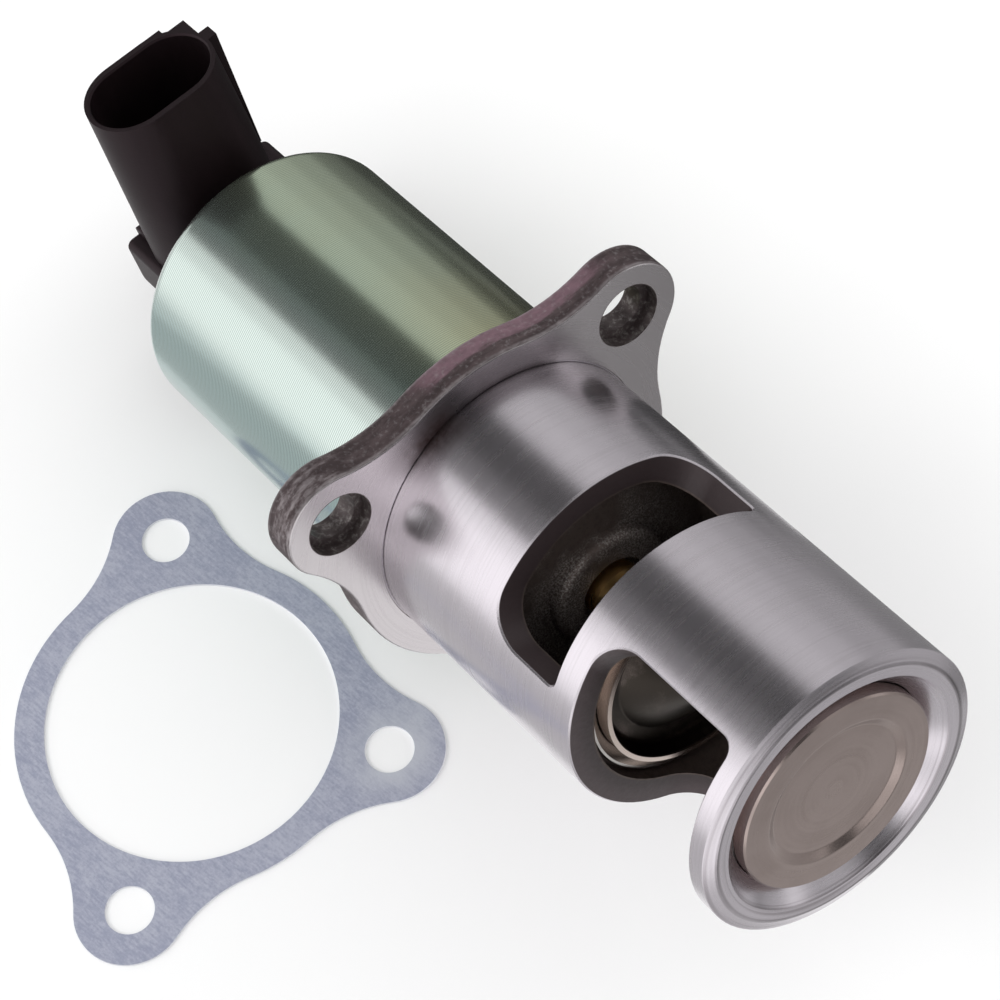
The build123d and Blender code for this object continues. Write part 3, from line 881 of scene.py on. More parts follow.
@dataclass(frozen=True)
class Hollows:
    """The casting's hollows: dark chambers, port walls with painted shade, and bolt pockets with painted
    shade and painted highlights.

    Attributes:
        colour: Colour of the chambers.
        dark: Sooted blotches in them; its colour is also the painted shade of the port walls.
        wall_colour: Colour of the port walls, darkened in part as painted shade.
        wall_skin: Where the walls start, in millimetres outside the chamber's radius.
        shade_below_seat: Where painted shade starts and is full, in millimetres from the seat.
        shade_in_port: How much of it lies below the seat.
        shade_outer: Where the painted shade toward the inside of the walls starts, in millimetres from the
            barrel's radius.
        shade_inner: Where it is full, in millimetres from the chamber's radius.
        shade_on_wall: How much of it lies there.
        shade_grain: How much the cast grain varies it.
        specks: Bright specks near the boss, a painted highlight where it catches the light.
        speck_fade: Values of their noise where one starts and where it is full.
        speck_share: How much of them shows.
        boss_reach: How far they reach round the boss, in millimetres.
        boss_below: How far they reach below the chamber's floor.
        boss_above: How far they reach above the boss.
        boss_soft: Width of their soft ends.
        patches: Broad noise that leaves some places without specks.
        lit_sides: How much more of the painted highlight the two sides of the boss have.
        patch_fade: Values of that noise where a patch starts and where it is full.
        pocket_colour: Colour of the bolt pockets, darkened in part as painted shade.
        pocket_skin: Where a pocket starts, in millimetres outside its radius.
        pocket_glints: Bright flecks in the pockets, painted highlights.
    """

    colour: Colour = (0.115, 0.088, 0.078)
    dark: Layer = Layer(SCORCH_AND_SHADE, Fade(-0.05, 0.3), 0.5)
    wall_colour: Colour = (0.078, 0.058, 0.062)
    wall_skin: Fade = Fade(0.1, 0.4)
    shade_below_seat: Fade = Fade(0.0, -2.0)
    shade_in_port: float = 0.65
    shade_outer: float = -0.6
    shade_inner: float = 0.3
    shade_on_wall: float = 0.75
    shade_grain: float = 0.3
    specks: Grain = Grain(3.2, 3.0, 0.7)
    speck_fade: Fade = Fade(-0.1, 0.24)
    speck_share: float = 0.7
    boss_reach: float = 2.0
    boss_below: float = 1.0
    boss_above: float = 0.5
    boss_soft: float = 1.0
    patches: Grain = Grain(0.13, 2.0)
    lit_sides: float = 0.2
    patch_fade: Fade = Fade(-0.05, 0.15)
    pocket_colour: Colour = (0.075, 0.058, 0.058)
    pocket_skin: Fade = Fade(0.2, 0.05)
    pocket_glints: Layer = Layer(HIGHLIGHT_SPECKS, Fade(0.02, 0.3), 0.6)

    def pockets(self, r: Recipe) -> Value:
        """Finds the bolt pockets.

        Args:
            r: The casting's recipe.

        Returns:
            1 on their walls and ledges.
        """
        turns = [math.radians(ear_angle) for ear_angle in SIZES.ear_angles]
        middles = [(SIZES.ear_reach * math.cos(turn), SIZES.ear_reach * math.sin(turn)) for turn in turns]
        nearest = r.away_from(middles[0])
        for middle in middles[1:]:
            nearest = nearest.least(r.away_from(middle))
        return nearest.fade(self.pocket_skin, past=SIZES.pocket_radius)

    def chamber(self, r: Recipe) -> Tint:
        """Draws the chambers, speckled bright where the boss catches the light.

        Args:
            r: The casting's recipe.

        Returns:
            Their colour.
        """
        boss = Span(SIZES.chamber_floor - self.boss_below, SIZES.boss_top + self.boss_above, self.boss_soft)
        near_boss = r.radius.ramp(SIZES.chamber_radius, SIZES.boss_radius + self.boss_reach)
        near_boss = near_boss * r.z.within(boss)
        # Painted highlight: bright specks on the boss, more on the two sides that catch the light.
        patches = (r.noise(self.patches) + abs(r.beside) * self.lit_sides).fade(self.patch_fade)
        specks = r.noise(self.specks).fade(self.speck_fade) * near_boss * patches
        chamber = r.lay(self.dark, self.colour, r.noise(CAST_GRAIN))
        return chamber.toward(HIGHLIGHT_SPECKS, specks * self.speck_share)

    def walls(self, r: Recipe) -> Tint:
        """Draws the walls of the gas ports, with painted shade toward the inside and below the seat.

        Args:
            r: The casting's recipe.

        Returns:
            Their colour.
        """
        # Painted shade: the port walls darken below the seat and toward the inside.
        port = r.z.fade(self.shade_below_seat, past=SIZES.seat_height) * self.shade_in_port
        outer, inner = SIZES.barrel_radius + self.shade_outer, SIZES.chamber_radius + self.shade_inner
        inside = r.radius.ramp(outer, inner) * self.shade_on_wall
        painted_shade = port.most(inside + r.noise(CAST_GRAIN) * self.shade_grain)
        return r.mix_colours(self.wall_colour, self.dark.colour, painted_shade)

    def pocket_tint(self, r: Recipe) -> Tint:
        """Returns the colour of the bolt pockets: dark in part with painted shade, flecked with painted
        highlights.
        """
        return r.lay(self.pocket_glints, self.pocket_colour, r.noise(CAST_GRAIN) + r.noise(CAST_FINE))


@dataclass(frozen=True)
class CartridgeFinish:
    """The casting: turned barrel and nose, machined flange face, rough cast edges and hollows.

    Each skin says where a zone starts, in millimetres past the size that it is measured from.

    Attributes:
        colour: Colour of the turned barrel.
        barrel_skin: Where the barrel's outside starts, from its radius.
        flange_skin: Where the flange starts, from the barrel's radius.
        edge_skin: Where the flange's edge starts, from its face.
        nose_skin: Where the nose starts, from the end of the lower port.
        marks: Fine turning marks.
        mark_tone: How they darken the steel.
        mark_depth: Their depth, in millimetres.
        long_marks: Broad marks, each nearly as long as the way round.
        worn: How those and the cloud darken the steel.
        worn_cloud: Weight of the cloud in that.
        nose_rings: Rings cut into the nose.
        nose_face: Where they fade in, from the nose's end.
        ring_tone: How they darken the steel.
        ring_depth: Their depth, in millimetres.
        face_shade: Painted shade over the flange's face.
        stain: Stain at the barrel's foot.
        bevel_line: Line where the nose's bevel starts.
        edge: The flange's edge.
        hollows: Chambers, port walls and bolt pockets.
        turned_roughness: Roughness where the casting is turned; the next four add to it.
        long_mark_roughness: What the long marks add.
        cloud_roughness: What the cloud adds.
        fine_roughness: What the finest grain adds.
        stain_roughness: What the stain adds.
        cast_roughness: Roughness where it is cast.
        wall_smoothness: What the port walls take off it.
        pocket_smoothness: What the pockets take off it.
        grain_roughness: What the cast grain adds.
        grain_depth: Depth of the cast grain, in millimetres.
        fine_depth: Depth of the finest grain.
        pocket_flatness: How much of that relief the pockets lose.
        cast_metal: Metal share where it is cast.
        wall_metal_loss: How much of it the port walls lose.
    """

    colour: Colour = (0.63, 0.59, 0.63)
    barrel_skin: Fade = Fade(-0.3, -0.2)
    flange_skin: Fade = Fade(0.05, 0.2)
    edge_skin: Fade = Fade(-0.04, -0.16)
    nose_skin: Fade = Fade(0.1, 0.3)
    marks: CutMarks = CutMarks(0.36, 1.5, 0.0)
    mark_tone: Layer = Layer(WORN_STEEL, Fade(-0.1, 0.3), 0.14)
    mark_depth: float = 0.0004
    long_marks: CutMarks = CutMarks(0.36 * 2.2, 0.8, 2.0)
    worn: Layer = Layer(WORN_STEEL, Fade(0.05, 0.8), 0.45)
    worn_cloud: float = 0.7
    nose_rings: CutMarks = CutMarks(1.0 / 1.3, 0.35, 2.0)
    nose_face: Fade = Fade(-0.9, -0.7)
    ring_tone: Layer = Layer(DULL_STEEL_AND_SHADE, Fade(0.0, 0.22), 0.6)
    ring_depth: float = 0.045
    face_shade: FlangeShade = FlangeShade()
    stain: BurntStain = BurntStain()
    bevel_line: BevelLine = BevelLine()
    edge: FlangeEdge = FlangeEdge()
    hollows: Hollows = Hollows()
    turned_roughness: float = 0.265
    long_mark_roughness: float = 0.08
    cloud_roughness: float = 0.07
    fine_roughness: float = 0.03
    stain_roughness: float = 0.2
    cast_roughness: float = 0.6
    wall_smoothness: float = 0.12
    pocket_smoothness: float = 0.15
    grain_roughness: float = 0.2
    grain_depth: float = 0.05
    fine_depth: float = 0.008
    pocket_flatness: float = 0.8
    cast_metal: float = 0.6
    wall_metal_loss: float = 0.3

    def build(self, name: str, frame: LocalFrame) -> bpy.types.Material:
        """Builds the material.

        Args:
            name: Name of the material.
            frame: The valve's frame.

        Returns:
            The material.
        """
        r = Recipe(name, frame)
        grain, cloud, fine = r.noise(CAST_GRAIN), r.noise(CAST_CLOUD), r.noise(CAST_FINE)
        marks, long_marks = r.marks(self.marks), r.marks(self.long_marks)
        nose_rings = r.marks(self.nose_rings) * r.z.fade(self.nose_face, past=SIZES.nose)

        outside = r.radius.fade(self.barrel_skin, past=SIZES.barrel_radius)
        on_flange = r.radius.fade(self.flange_skin, past=SIZES.barrel_radius)
        edge = on_flange * r.z.fade(self.edge_skin)
        at_nose = r.z.fade(self.nose_skin, past=SIZES.port_end)
        pocket = self.hollows.pockets(r)
        machined = outside.most(at_nose) * (1.0 - edge) * (1.0 - pocket)
        wall = r.radius.fade(self.hollows.wall_skin, past=SIZES.chamber_radius)
        port_wall = wall * (1.0 - on_flange)

        stain = self.stain.share(r)
        turned = r.mix_colours(self.colour, FACED_STEEL, on_flange)
        turned = turned.under(self.worn, long_marks + cloud * self.worn_cloud)
        turned = turned.under(self.mark_tone, marks)
        # Painted shade over the uppermost side of the flange's face.
        turned = turned.toward(DULL_STEEL_AND_SHADE, self.face_shade.share(r))
        turned = turned.under(self.ring_tone, nose_rings)
        turned = turned.toward(self.stain.colour, stain)
        turned = turned.toward(SCORCH_AND_SHADE, self.bevel_line.share(r))
        cast = self.hollows.chamber(r).toward(self.hollows.walls(r), wall)
        cast = cast.toward(self.edge.tint(r), on_flange)
        cast = cast.toward(self.hollows.pocket_tint(r), pocket)

        smooth = self.turned_roughness + long_marks * self.long_mark_roughness
        smooth = smooth + cloud * self.cloud_roughness + fine * self.fine_roughness
        smooth = smooth + stain * self.stain_roughness
        rough = self.cast_roughness - port_wall * self.wall_smoothness - pocket * self.pocket_smoothness
        rough = rough + grain * self.grain_roughness
        relief = (grain * self.grain_depth + fine * self.fine_depth) * (1.0 - machined)
        height = (marks * self.mark_depth + nose_rings * self.ring_depth) * machined
        height = height + relief * (1.0 - pocket * self.pocket_flatness)
        metal = r.mix(self.cast_metal - port_wall * self.wall_metal_loss, 1.0, machined)
        return r.surface(cast.toward(turned, machined), r.mix(rough, smooth, machined), metal, height)


@dataclass(frozen=True)
class PassivatedTurnedFinish:
    """Zinc with a green-yellow passivate over a finely grooved can.

    Sides run from -1 to 1 across the can, 1 being the side toward +Y.

    Attributes:
        colour: Colour of the passivate.
        olive: Colour of its yellower part, a painted sheen toward -Y.
        olive_side: Side where that starts and where it is full.
        olive_reach: How far it reaches from the flange, in millimetres.
        olive_wander: How far that end wanders, in millimetres.
        olive_far: How much of it shows beyond that reach.
        olive_near: How much more shows at the flange.
        olive_bands: How much the bands vary it.
        teal: Bluer part, on the other side, a painted sheen toward +Y.
        teal_wander: How far its border wanders.
        painted_highlight: Colour of the palest strip, a painted highlight.
        highlight_side: Where that strip lies.
        highlight_share: How much of it shows.
        groove: How the grooves darken the colour.
        groove_pitch: From one groove to the next, in millimetres.
        groove_depth: Half their depth, in millimetres.
        bands: Broad bands round the can.
        cloud: Broad blotches.
        fine: Finest grain.
        roughness: Roughness, to which the next two add.
        band_roughness: What the bands add.
        fine_roughness: What the finest grain adds.
        metal: Metal share.
        coat: Weight of the clear coat.
    """

    colour: Colour = (0.47, 0.565, 0.44)
    olive: Colour = (0.52, 0.53, 0.34)
    olive_side: Fade = Fade(0.25, -0.5)
    olive_reach: float = 34.0
    olive_wander: float = 12.0
    olive_far: float = 0.25
    olive_near: float = 0.75
    olive_bands: float = 0.25
    teal: Layer = Layer((0.45, 0.59, 0.60), Fade(-0.15, 0.6), 0.85)
    teal_wander: float = 0.25
    painted_highlight: Colour = (0.62, 0.66, 0.62)
    highlight_side: Span = Span(0.42, 0.72, 0.2)
    highlight_share: float = 0.6
    groove: Layer = Layer((0.22, 0.25, 0.21), Fade(0.5, -1.0), 0.45)
    groove_pitch: float = 0.42
    groove_depth: float = 0.0005
    bands: CutMarks = CutMarks(1.0 / 0.22, 0.5, 4.0, 0.6)
    cloud: Grain = Grain(0.09)
    fine: Grain = Grain(9.0)
    roughness: float = 0.2
    band_roughness: float = 0.06
    fine_roughness: float = 0.04
    metal: float = 0.95
    coat: float = 0.05

    def build(self, name: str, frame: LocalFrame) -> bpy.types.Material:
        """Builds the material.

        Args:
            name: Name of the material.
            frame: The valve's frame.

        Returns:
            The material.
        """
        r = Recipe(name, frame)
        bands, cloud, fine = r.marks(self.bands), r.noise(self.cloud), r.noise(self.fine)
        groove = ((r.z + r.radius) * (2.0 * math.pi / self.groove_pitch)).sine()
        front = -SIZES.flange_thickness
        # Painted sheen: olive toward -Y and more toward the flange, teal toward +Y, with a painted
        # highlight strip on the +Y side.
        toward_flange = (r.z + cloud * self.olive_wander).ramp(front - self.olive_reach, front)
        olive = r.beside.fade(self.olive_side) * (self.olive_far + toward_flange * self.olive_near)
        colour = r.mix_colours(self.colour, self.olive, olive + bands * self.olive_bands)
        colour = colour.under(self.teal, r.beside + cloud * self.teal_wander)
        colour = colour.toward(self.painted_highlight, r.beside.within(self.highlight_side) * self.highlight_share)
        colour = colour.under(self.groove, groove)
        roughness = self.roughness + bands * self.band_roughness + fine * self.fine_roughness
        return r.surface(colour, roughness, self.metal, groove * self.groove_depth, coat=self.coat)


@dataclass(frozen=True)
class TurnedFinish:
    """Plain turned metal: concentric or circumferential marks with a faint tint.

    Attributes:
        colour: Its colour.
        shade: Its darker tone.
        roughness: Its roughness.
        mark_pitch: From one turning mark to the next, in millimetres.
        mark_depth: Depth of the marks, in millimetres.
        marks_per_band: How many marks a band is wide.
        band_persistence: How quickly a band changes on its way round.
        shading: Values of the pattern where the darker tone starts and where it is full.
        band_tone: Weight of the bands in that pattern.
        cloud: Broad blotches.
        cloud_tone: Weight of the blotches in that pattern.
        fine: Finest grain.
        band_roughness: What the bands add to the roughness.
        fine_roughness: What the finest grain adds to it.
    """

    colour: Colour
    shade: Colour
    roughness: float
    mark_pitch: float = 0.2
    mark_depth: float = 0.003
    marks_per_band: float = 7.0
    band_persistence: float = 0.8
    shading: Fade = Fade(-0.1, 0.5)
    band_tone: float = 1.1
    cloud: Grain = Grain(0.18)
    cloud_tone: float = 0.8
    fine: Grain = Grain(12.0, 2.0)
    band_roughness: float = 0.15
    fine_roughness: float = 0.05

    def build(self, name: str, frame: LocalFrame) -> bpy.types.Material:
        """Builds the material.

        Args:
            name: Name of the material.
            frame: Frame whose +Z is the axis of the turned faces.

        Returns:
            The material.
        """
        r = Recipe(name, frame)
        marks = r.marks(CutMarks(self.mark_pitch))
        bands = r.marks(CutMarks(self.mark_pitch * self.marks_per_band, self.band_persistence))
        pattern = bands * self.band_tone + r.noise(self.cloud) * self.cloud_tone
        colour = r.lay(Layer(self.shade, self.shading), self.colour, pattern)
        roughness = self.roughness + bands * self.band_roughness + r.noise(self.fine) * self.fine_roughness
        return r.surface(colour, roughness, 1.0, marks * self.mark_depth)


@dataclass(frozen=True)
class DiscFinish:
    """Valve discs: the nose one clean and finely faced, the inner one darkened with painted shade inside a
    rim with a painted highlight.

    Attributes:
        clean: Colour of the clean disc.
        shade: Its darker tone.
        shade_fine: Weight of the finest grain in that tone's pattern.
        painted_shade: Colour of the painted shade on the inner disc.
        thin_painted_shade: Values of the pattern where the painted shade starts to thin and where it is
            thinnest.
        thin_painted_shade_fine: Weight of the finest grain in that pattern.
        thin_painted_shade_share: How much of the steel shows through there.
        rim: Colour of the inner disc's rim, a painted highlight.
        rim_skin: Where the rim starts, in millimetres past its radius.
        inner_disc: Where the inner disc starts, in millimetres from the middle between the two.
        centre: Radii between which the marks fade in, in millimetres.
        marks: Fine facing marks.
        mark_depth: Their depth, in millimetres.
        rings: Broader rings.
        cloud: Broad blotches.
        fine: Finest grain.
        roughness: Roughness, to which the next three add.
        ring_roughness: What the rings add.
        fine_roughness: What the finest grain adds.
        inner_disc_roughness: What the inner disc adds inside its rim.
    """

    clean: Colour = (0.385, 0.315, 0.295)
    shade: Layer = Layer((0.34, 0.275, 0.255), Fade(-0.2, 0.4))
    shade_fine: float = 0.3
    painted_shade: Colour = (0.05, 0.042, 0.036)
    thin_painted_shade: Fade = Fade(0.0, 0.4)
    thin_painted_shade_fine: float = 0.4
    thin_painted_shade_share: float = 0.5
    rim: Colour = (0.62, 0.53, 0.48)
    rim_skin: Fade = Fade(0.0, 0.3)
    inner_disc: Fade = Fade(0.5, -0.5)
    centre: Fade = Fade(1.5, 4.0)
    marks: CutMarks = CutMarks(0.11, 0.15, 3.0)
    mark_depth: float = 0.0012
    rings: CutMarks = CutMarks(1.0 / 0.9, 0.12, 2.0)
    cloud: Grain = Grain(0.15)
    fine: Grain = Grain(7.0, 2.0)
    roughness: float = 0.26
    ring_roughness: float = 0.06
    fine_roughness: float = 0.04
    inner_disc_roughness: float = 0.14

    def build(self, name: str, frame: LocalFrame) -> bpy.types.Material:
        """Builds the material.

        Args:
            name: Name of the material.
            frame: The valve's frame.

        Returns:
            The material.
        """
        r = Recipe(name, frame)
        cloud, fine = r.noise(self.cloud), r.noise(self.fine)
        off_centre = r.radius.fade(self.centre)
        rings = r.marks(self.rings) * off_centre
        inner = r.z.fade(self.inner_disc, past=SIZES.between_discs)
        on_rim = r.radius.fade(self.rim_skin, past=SIZES.disc_rim_radius)
        clean = r.lay(self.shade, self.clean, rings + cloud + fine * self.shade_fine)
        # Painted shade over the inner disc, with a painted highlight on its rim.
        thin = (cloud + fine * self.thin_painted_shade_fine).fade(self.thin_painted_shade) * self.thin_painted_shade_share
        shaded_dish = r.mix_colours(self.painted_shade, self.shade.colour, thin).toward(self.rim, on_rim)
        roughness = self.roughness + rings * self.ring_roughness + fine * self.fine_roughness
        roughness = roughness + inner * (1.0 - on_rim) * self.inner_disc_roughness
        height = r.marks(self.marks) * off_centre * self.mark_depth
        return r.surface(clean.toward(shaded_dish, inner), roughness, 1.0, height)


@dataclass(frozen=True)
class MouldedFinish:
    """Glass-filled moulding with a fine spark-eroded grain and faint flow marks.

    Attributes:
        colour: Its colour.
        sheen: Its lighter tone.
        roughness: Its roughness.
        specular: How strongly it reflects.
        specular_tint: Tint of its reflections.
        grain: The mould's grain.
        grain_depth: Depth of the grain, in millimetres.
        pits_per_grain: How many pits there are for each blotch of the grain.
        pit_share: Depth of a pit as a share of the grain's.
        flow: Flow marks, drawn out along +X.
        shading: Values of the pattern where the lighter tone starts and where it is full.
        grain_tone: Weight of the grain in that pattern.
        grain_roughness: What the grain adds to the roughness.
        flow_roughness: What the flow marks add to it.
    """

    colour: Colour
    sheen: Colour
    roughness: float
    specular: float = 0.5
    specular_tint: Colour = WHITE
    grain: Grain = Grain(2.6, 4.0, 0.6)
    grain_depth: float = 0.01
    pits_per_grain: float = 1.4
    pit_share: float = 0.5
    flow: Grain = Grain(0.16, stretch=(0.25, 1.0, 1.0))
    shading: Fade = Fade(-0.1, 0.5)
    grain_tone: float = 0.5
    grain_roughness: float = 0.12
    flow_roughness: float = 0.1

    def build(self, name: str, frame: LocalFrame) -> bpy.types.Material:
        """Builds the material.

        Args:
            name: Name of the material.
            frame: Frame whose +X the moulding flowed along.

        Returns:
            The material.
        """
        r = Recipe(name, frame)
        grain, flow = r.noise(self.grain), r.noise(self.flow)
        pits = r.cells(self.grain.scale * self.pits_per_grain)
        colour = r.lay(Layer(self.sheen, self.shading), self.colour, flow + grain * self.grain_tone)
        roughness = self.roughness + grain * self.grain_roughness + flow * self.flow_roughness
        height = grain * self.grain_depth + pits * self.grain_depth * self.pit_share
        return r.surface(
            colour, roughness, 0.0, height, specular=self.specular, specular_tint=self.specular_tint
        )


@dataclass(frozen=True)
class RolledFinish:
    """Rolled sheet with short rolling grain and a thin dull coat, bright where it was cut or rubbed.

    Attributes:
        colour: Its colour.
        shade: Its darker tone.
        roughness: Its roughness.
        metal: Metal share under the coat.
        thickness: The sheet's thickness, in millimetres.
        lines: Rolling grain along +X.
        grit: Short blotches.
        cloud: Broad blotches.
        shading: Values of the pattern where the darker tone starts and where it is full.
        line_tone: Weight of the rolling grain in that pattern.
        grit_tone: Weight of the short blotches.
        cloud_tone: Weight of the broad ones.
        cut_colour: Colour of the cut edge.
        cut_skin: Where the cut edge starts, in millimetres from the sheet's face.
        cut_share: How much of it shows.
        rubbed_colour: Colour where the coat was rubbed off.
        rub_place: Middle of the rubbed ear, in millimetres.
        rub_reach: Distances from it where the rubbing ends and where it is full.
        rub_wander: How far its border wanders.
        rub_share: How much of it shows.
        scuffs: Values of the blotches where a scuff starts and where it is full.
        scuff_share: How much of the scuffs shows.
        line_roughness: What the rolling grain adds to the roughness.
        cloud_roughness: What the broad blotches add to it.
        relief: Depth of the rolling grain and of the short blotches, in millimetres.
    """

    colour: Colour
    shade: Colour
    roughness: float
    metal: float = 0.3
    thickness: float = 0.6
    lines: Grain = Grain(1.0, 3.0, 0.6, (0.5, 2.2, 1.0))
    grit: Grain = Grain(2.4, 3.0, 0.7)
    cloud: Grain = Grain(0.08, 4.0, 0.6)
    shading: Fade = Fade(-0.28, 0.28)
    line_tone: float = 0.9
    grit_tone: float = 0.8
    cloud_tone: float = 0.7
    cut_colour: Colour = (0.78, 0.79, 0.82)
    cut_skin: Fade = Fade(-0.02, -0.1)
    cut_share: float = 0.8
    rubbed_colour: Colour = (0.66, 0.68, 0.74)
    rub_place: Pair = (31.5, 20.7)
    rub_reach: Fade = Fade(11.0, 1.0)
    rub_wander: float = 14.0
    rub_share: float = 0.8
    scuffs: Fade = Fade(0.2, 0.45)
    scuff_share: float = 0.6
    line_roughness: float = 0.14
    cloud_roughness: float = 0.12
    relief: float = 0.003

    def build(self, name: str, frame: LocalFrame) -> bpy.types.Material:
        """Builds the material.

        Args:
            name: Name of the material.
            frame: Frame at the sheet's foot, with +X along the rolling grain.

        Returns:
            The material.
        """
        r = Recipe(name, frame)
        lines, grit, cloud = r.noise(self.lines), r.noise(self.grit), r.noise(self.cloud)
        pattern = lines * self.line_tone + grit * self.grit_tone + cloud * self.cloud_tone
        rubbed = (r.away_from(self.rub_place) + cloud * self.rub_wander).fade(self.rub_reach)
        scuffed = (grit + cloud).fade(self.scuffs) * self.scuff_share
        cut = r.z.fade(self.cut_skin, past=self.thickness)
        colour = r.lay(Layer(self.shade, self.shading), self.colour, pattern)
        colour = colour.toward(self.rubbed_colour, (rubbed * self.rub_share).most(scuffed))
        colour = colour.toward(self.cut_colour, cut * self.cut_share)
        roughness = self.roughness + lines * self.line_roughness + cloud * self.cloud_roughness
        return r.surface(colour, roughness, self.metal, lines * self.relief + grit * self.relief)


Finish: TypeAlias = (
    CartridgeFinish | PassivatedTurnedFinish | TurnedFinish | DiscFinish | MouldedFinish | RolledFinish
)


def read_array(
    elements: bpy.types.bpy_prop_collection, name: str, width: int = 1, kind: type = float
) -> np.ndarray:
    """Reads one property of every element of a mesh.

    Args:
        elements: The mesh's vertices, corners or faces.
        name: The property.
        width: How many numbers it has on each element.
        kind: Type of those numbers.

    Returns:
        One row per element, or one number where the width is 1.
    """
    values = np.empty(len(elements) * width, dtype=kind)
    elements.foreach_get(name, values)
    return values.reshape(-1, width) if width > 1 else values


class FaceTable:
    """A mesh's faces and their corners as arrays.

    Attributes:
        points: Place of each vertex.
        normals: Normal of each face.
        areas: Area of each face.
        totals: How many corners each face has.
        vertices: Vertex of each corner.
        owner: Face of each corner.
    """

    def __init__(self, mesh: bpy.types.Mesh) -> None:
        """Reads a mesh.

        Args:
            mesh: The mesh, which isn't changed.
        """
        self.points = read_array(mesh.vertices, "co", 3)
        self.normals = read_array(mesh.polygons, "normal", 3)
        self.areas = read_array(mesh.polygons, "area")
        self.totals = read_array(mesh.polygons, "loop_total", kind=int)
        self.vertices = read_array(mesh.loops, "vertex_index", kind=int)
        self.owner = np.repeat(np.arange(len(self.totals)), self.totals)


class Shading:
    """Makes merged, smoothly shaded copies of CAD nodes without moving a vertex.

    Attributes:
        MERGE: Vertices closer than this are one, in metres.
        CREASE: Faces that meet at a smaller angle than this are shaded as one surface.
        SIDEWAYS: Largest share of a turned face's normal that may point round the axis.
        PROFILE_SLACK: How far a turned face's corners may lie off its profile line, in metres.
        NEAREST: Faces closer to the axis than this are left as they are, in metres.
        NO_LENGTH: Lengths below this count as none.
    """

    MERGE = 2e-6
    CREASE = math.radians(28.0)
    SIDEWAYS = 0.035
    PROFILE_SLACK = 0.04 * MM
    NEAREST = MM
    NO_LENGTH = 1e-12

    def __init__(self, nodes: dict[str, bpy.types.Object]) -> None:
        """Takes the CAD nodes by name."""
        self.nodes = nodes

    @classmethod
    def smooth(cls, mesh: bpy.types.Mesh) -> None:
        """Shades a mesh smooth up to the crease angle."""
        mesh.polygons.foreach_set("use_smooth", np.ones(len(mesh.polygons), dtype=bool))
        mesh.set_sharp_from_angle(angle=cls.CREASE)

    def copy(self, node: str, frame: LocalFrame) -> bpy.types.Object:
        """Copies a node, merges its triangles and gives its turned faces exact normals.

        Args:
            node: Name of the CAD node.
            frame: Frame whose +Z is the axis of the node's turned faces.

        Returns:
            The new object, at the origin.
        """
        mesh = self.nodes[node].data.copy()
        mesh.name = f"{node}_dressed"
        mesh.materials.clear()
        work = bmesh.new()
        work.from_mesh(mesh)
        bmesh.ops.remove_doubles(work, verts=work.verts, dist=self.MERGE)
        bmesh.ops.dissolve_degenerate(work, edges=work.edges, dist=self.MERGE)
        work.to_mesh(mesh)
        work.free()
        self.smooth(mesh)
        table = FaceTable(mesh)
        normals = self._turned_normals(table, frame, self._blended_normals(table))
        mesh.normals_split_custom_set([tuple(normal) for normal in normals])
        return place_object(mesh.name, mesh)

    def _blended_normals(self, table: FaceTable) -> np.ndarray:
        """Blends the normals of the faces round each corner that meet inside the crease, by area.

        Args:
            table: The mesh's faces.

        Returns:
            One unit normal per corner.
        """
        order = np.argsort(table.vertices, kind="stable")
        ends = np.flatnonzero(np.diff(table.vertices[order])) + 1
        limit = math.cos(self.CREASE)
        normals = table.normals[table.owner]
        for corners in np.split(order, ends):
            faces = table.owner[corners]
            around = table.normals[faces]
            normals[corners] = ((around @ around.T > limit) * table.areas[faces]) @ around
        lengths = np.linalg.norm(normals, axis=1)
        bare = lengths < self.NO_LENGTH
        normals[bare] = table.normals[table.owner[bare]]
        lengths[bare] = 1.0
        return normals / lengths[:, None]

    def _turned_normals(self, table: FaceTable, frame: LocalFrame, normals: np.ndarray) -> np.ndarray:
        """Makes the normals exact on every face that was turned on the frame's axis.

        Args:
            table: The mesh's faces.
            frame: Frame whose +Z is the axis.
            normals: Corner normals, changed in place.

        Returns:
            The normals.
        """
        turn = np.array(frame.matrix.to_3x3())
        corners = ((table.points - np.array(frame.origin)) @ turn)[table.vertices]
        faces = table.normals @ turn
        owner, count = table.owner, len(table.totals)
        radii = np.maximum(np.hypot(corners[:, 0], corners[:, 1]), self.NO_LENGTH)
        middles = np.zeros((count, 2))
        np.add.at(middles, owner, corners[:, :2])
        middles /= table.totals[:, None]
        reach = np.maximum(np.hypot(middles[:, 0], middles[:, 1]), self.NO_LENGTH)
        radial = middles / reach[:, None]
        sideways = faces[:, 1] * radial[:, 0] - faces[:, 0] * radial[:, 1]
        lean = (faces[:, :2] * radial).sum(axis=1)
        profile = radii * lean[owner] + corners[:, 2] * faces[owner, 2]
        highest, lowest = np.full(count, -np.inf), np.full(count, np.inf)
        np.maximum.at(highest, owner, profile)
        np.minimum.at(lowest, owner, profile)
        fits = (np.abs(sideways) < self.SIDEWAYS) & (highest - lowest < self.PROFILE_SLACK)
        outward = corners[:, :2] / radii[:, None]
        exact = np.column_stack((outward * lean[owner][:, None], faces[owner, 2]))
        exact /= np.maximum(np.linalg.norm(exact, axis=1), self.NO_LENGTH)[:, None]
        chosen = (fits & (reach > self.NEAREST))[owner]
        normals[chosen] = exact[chosen] @ turn.T
        return normals


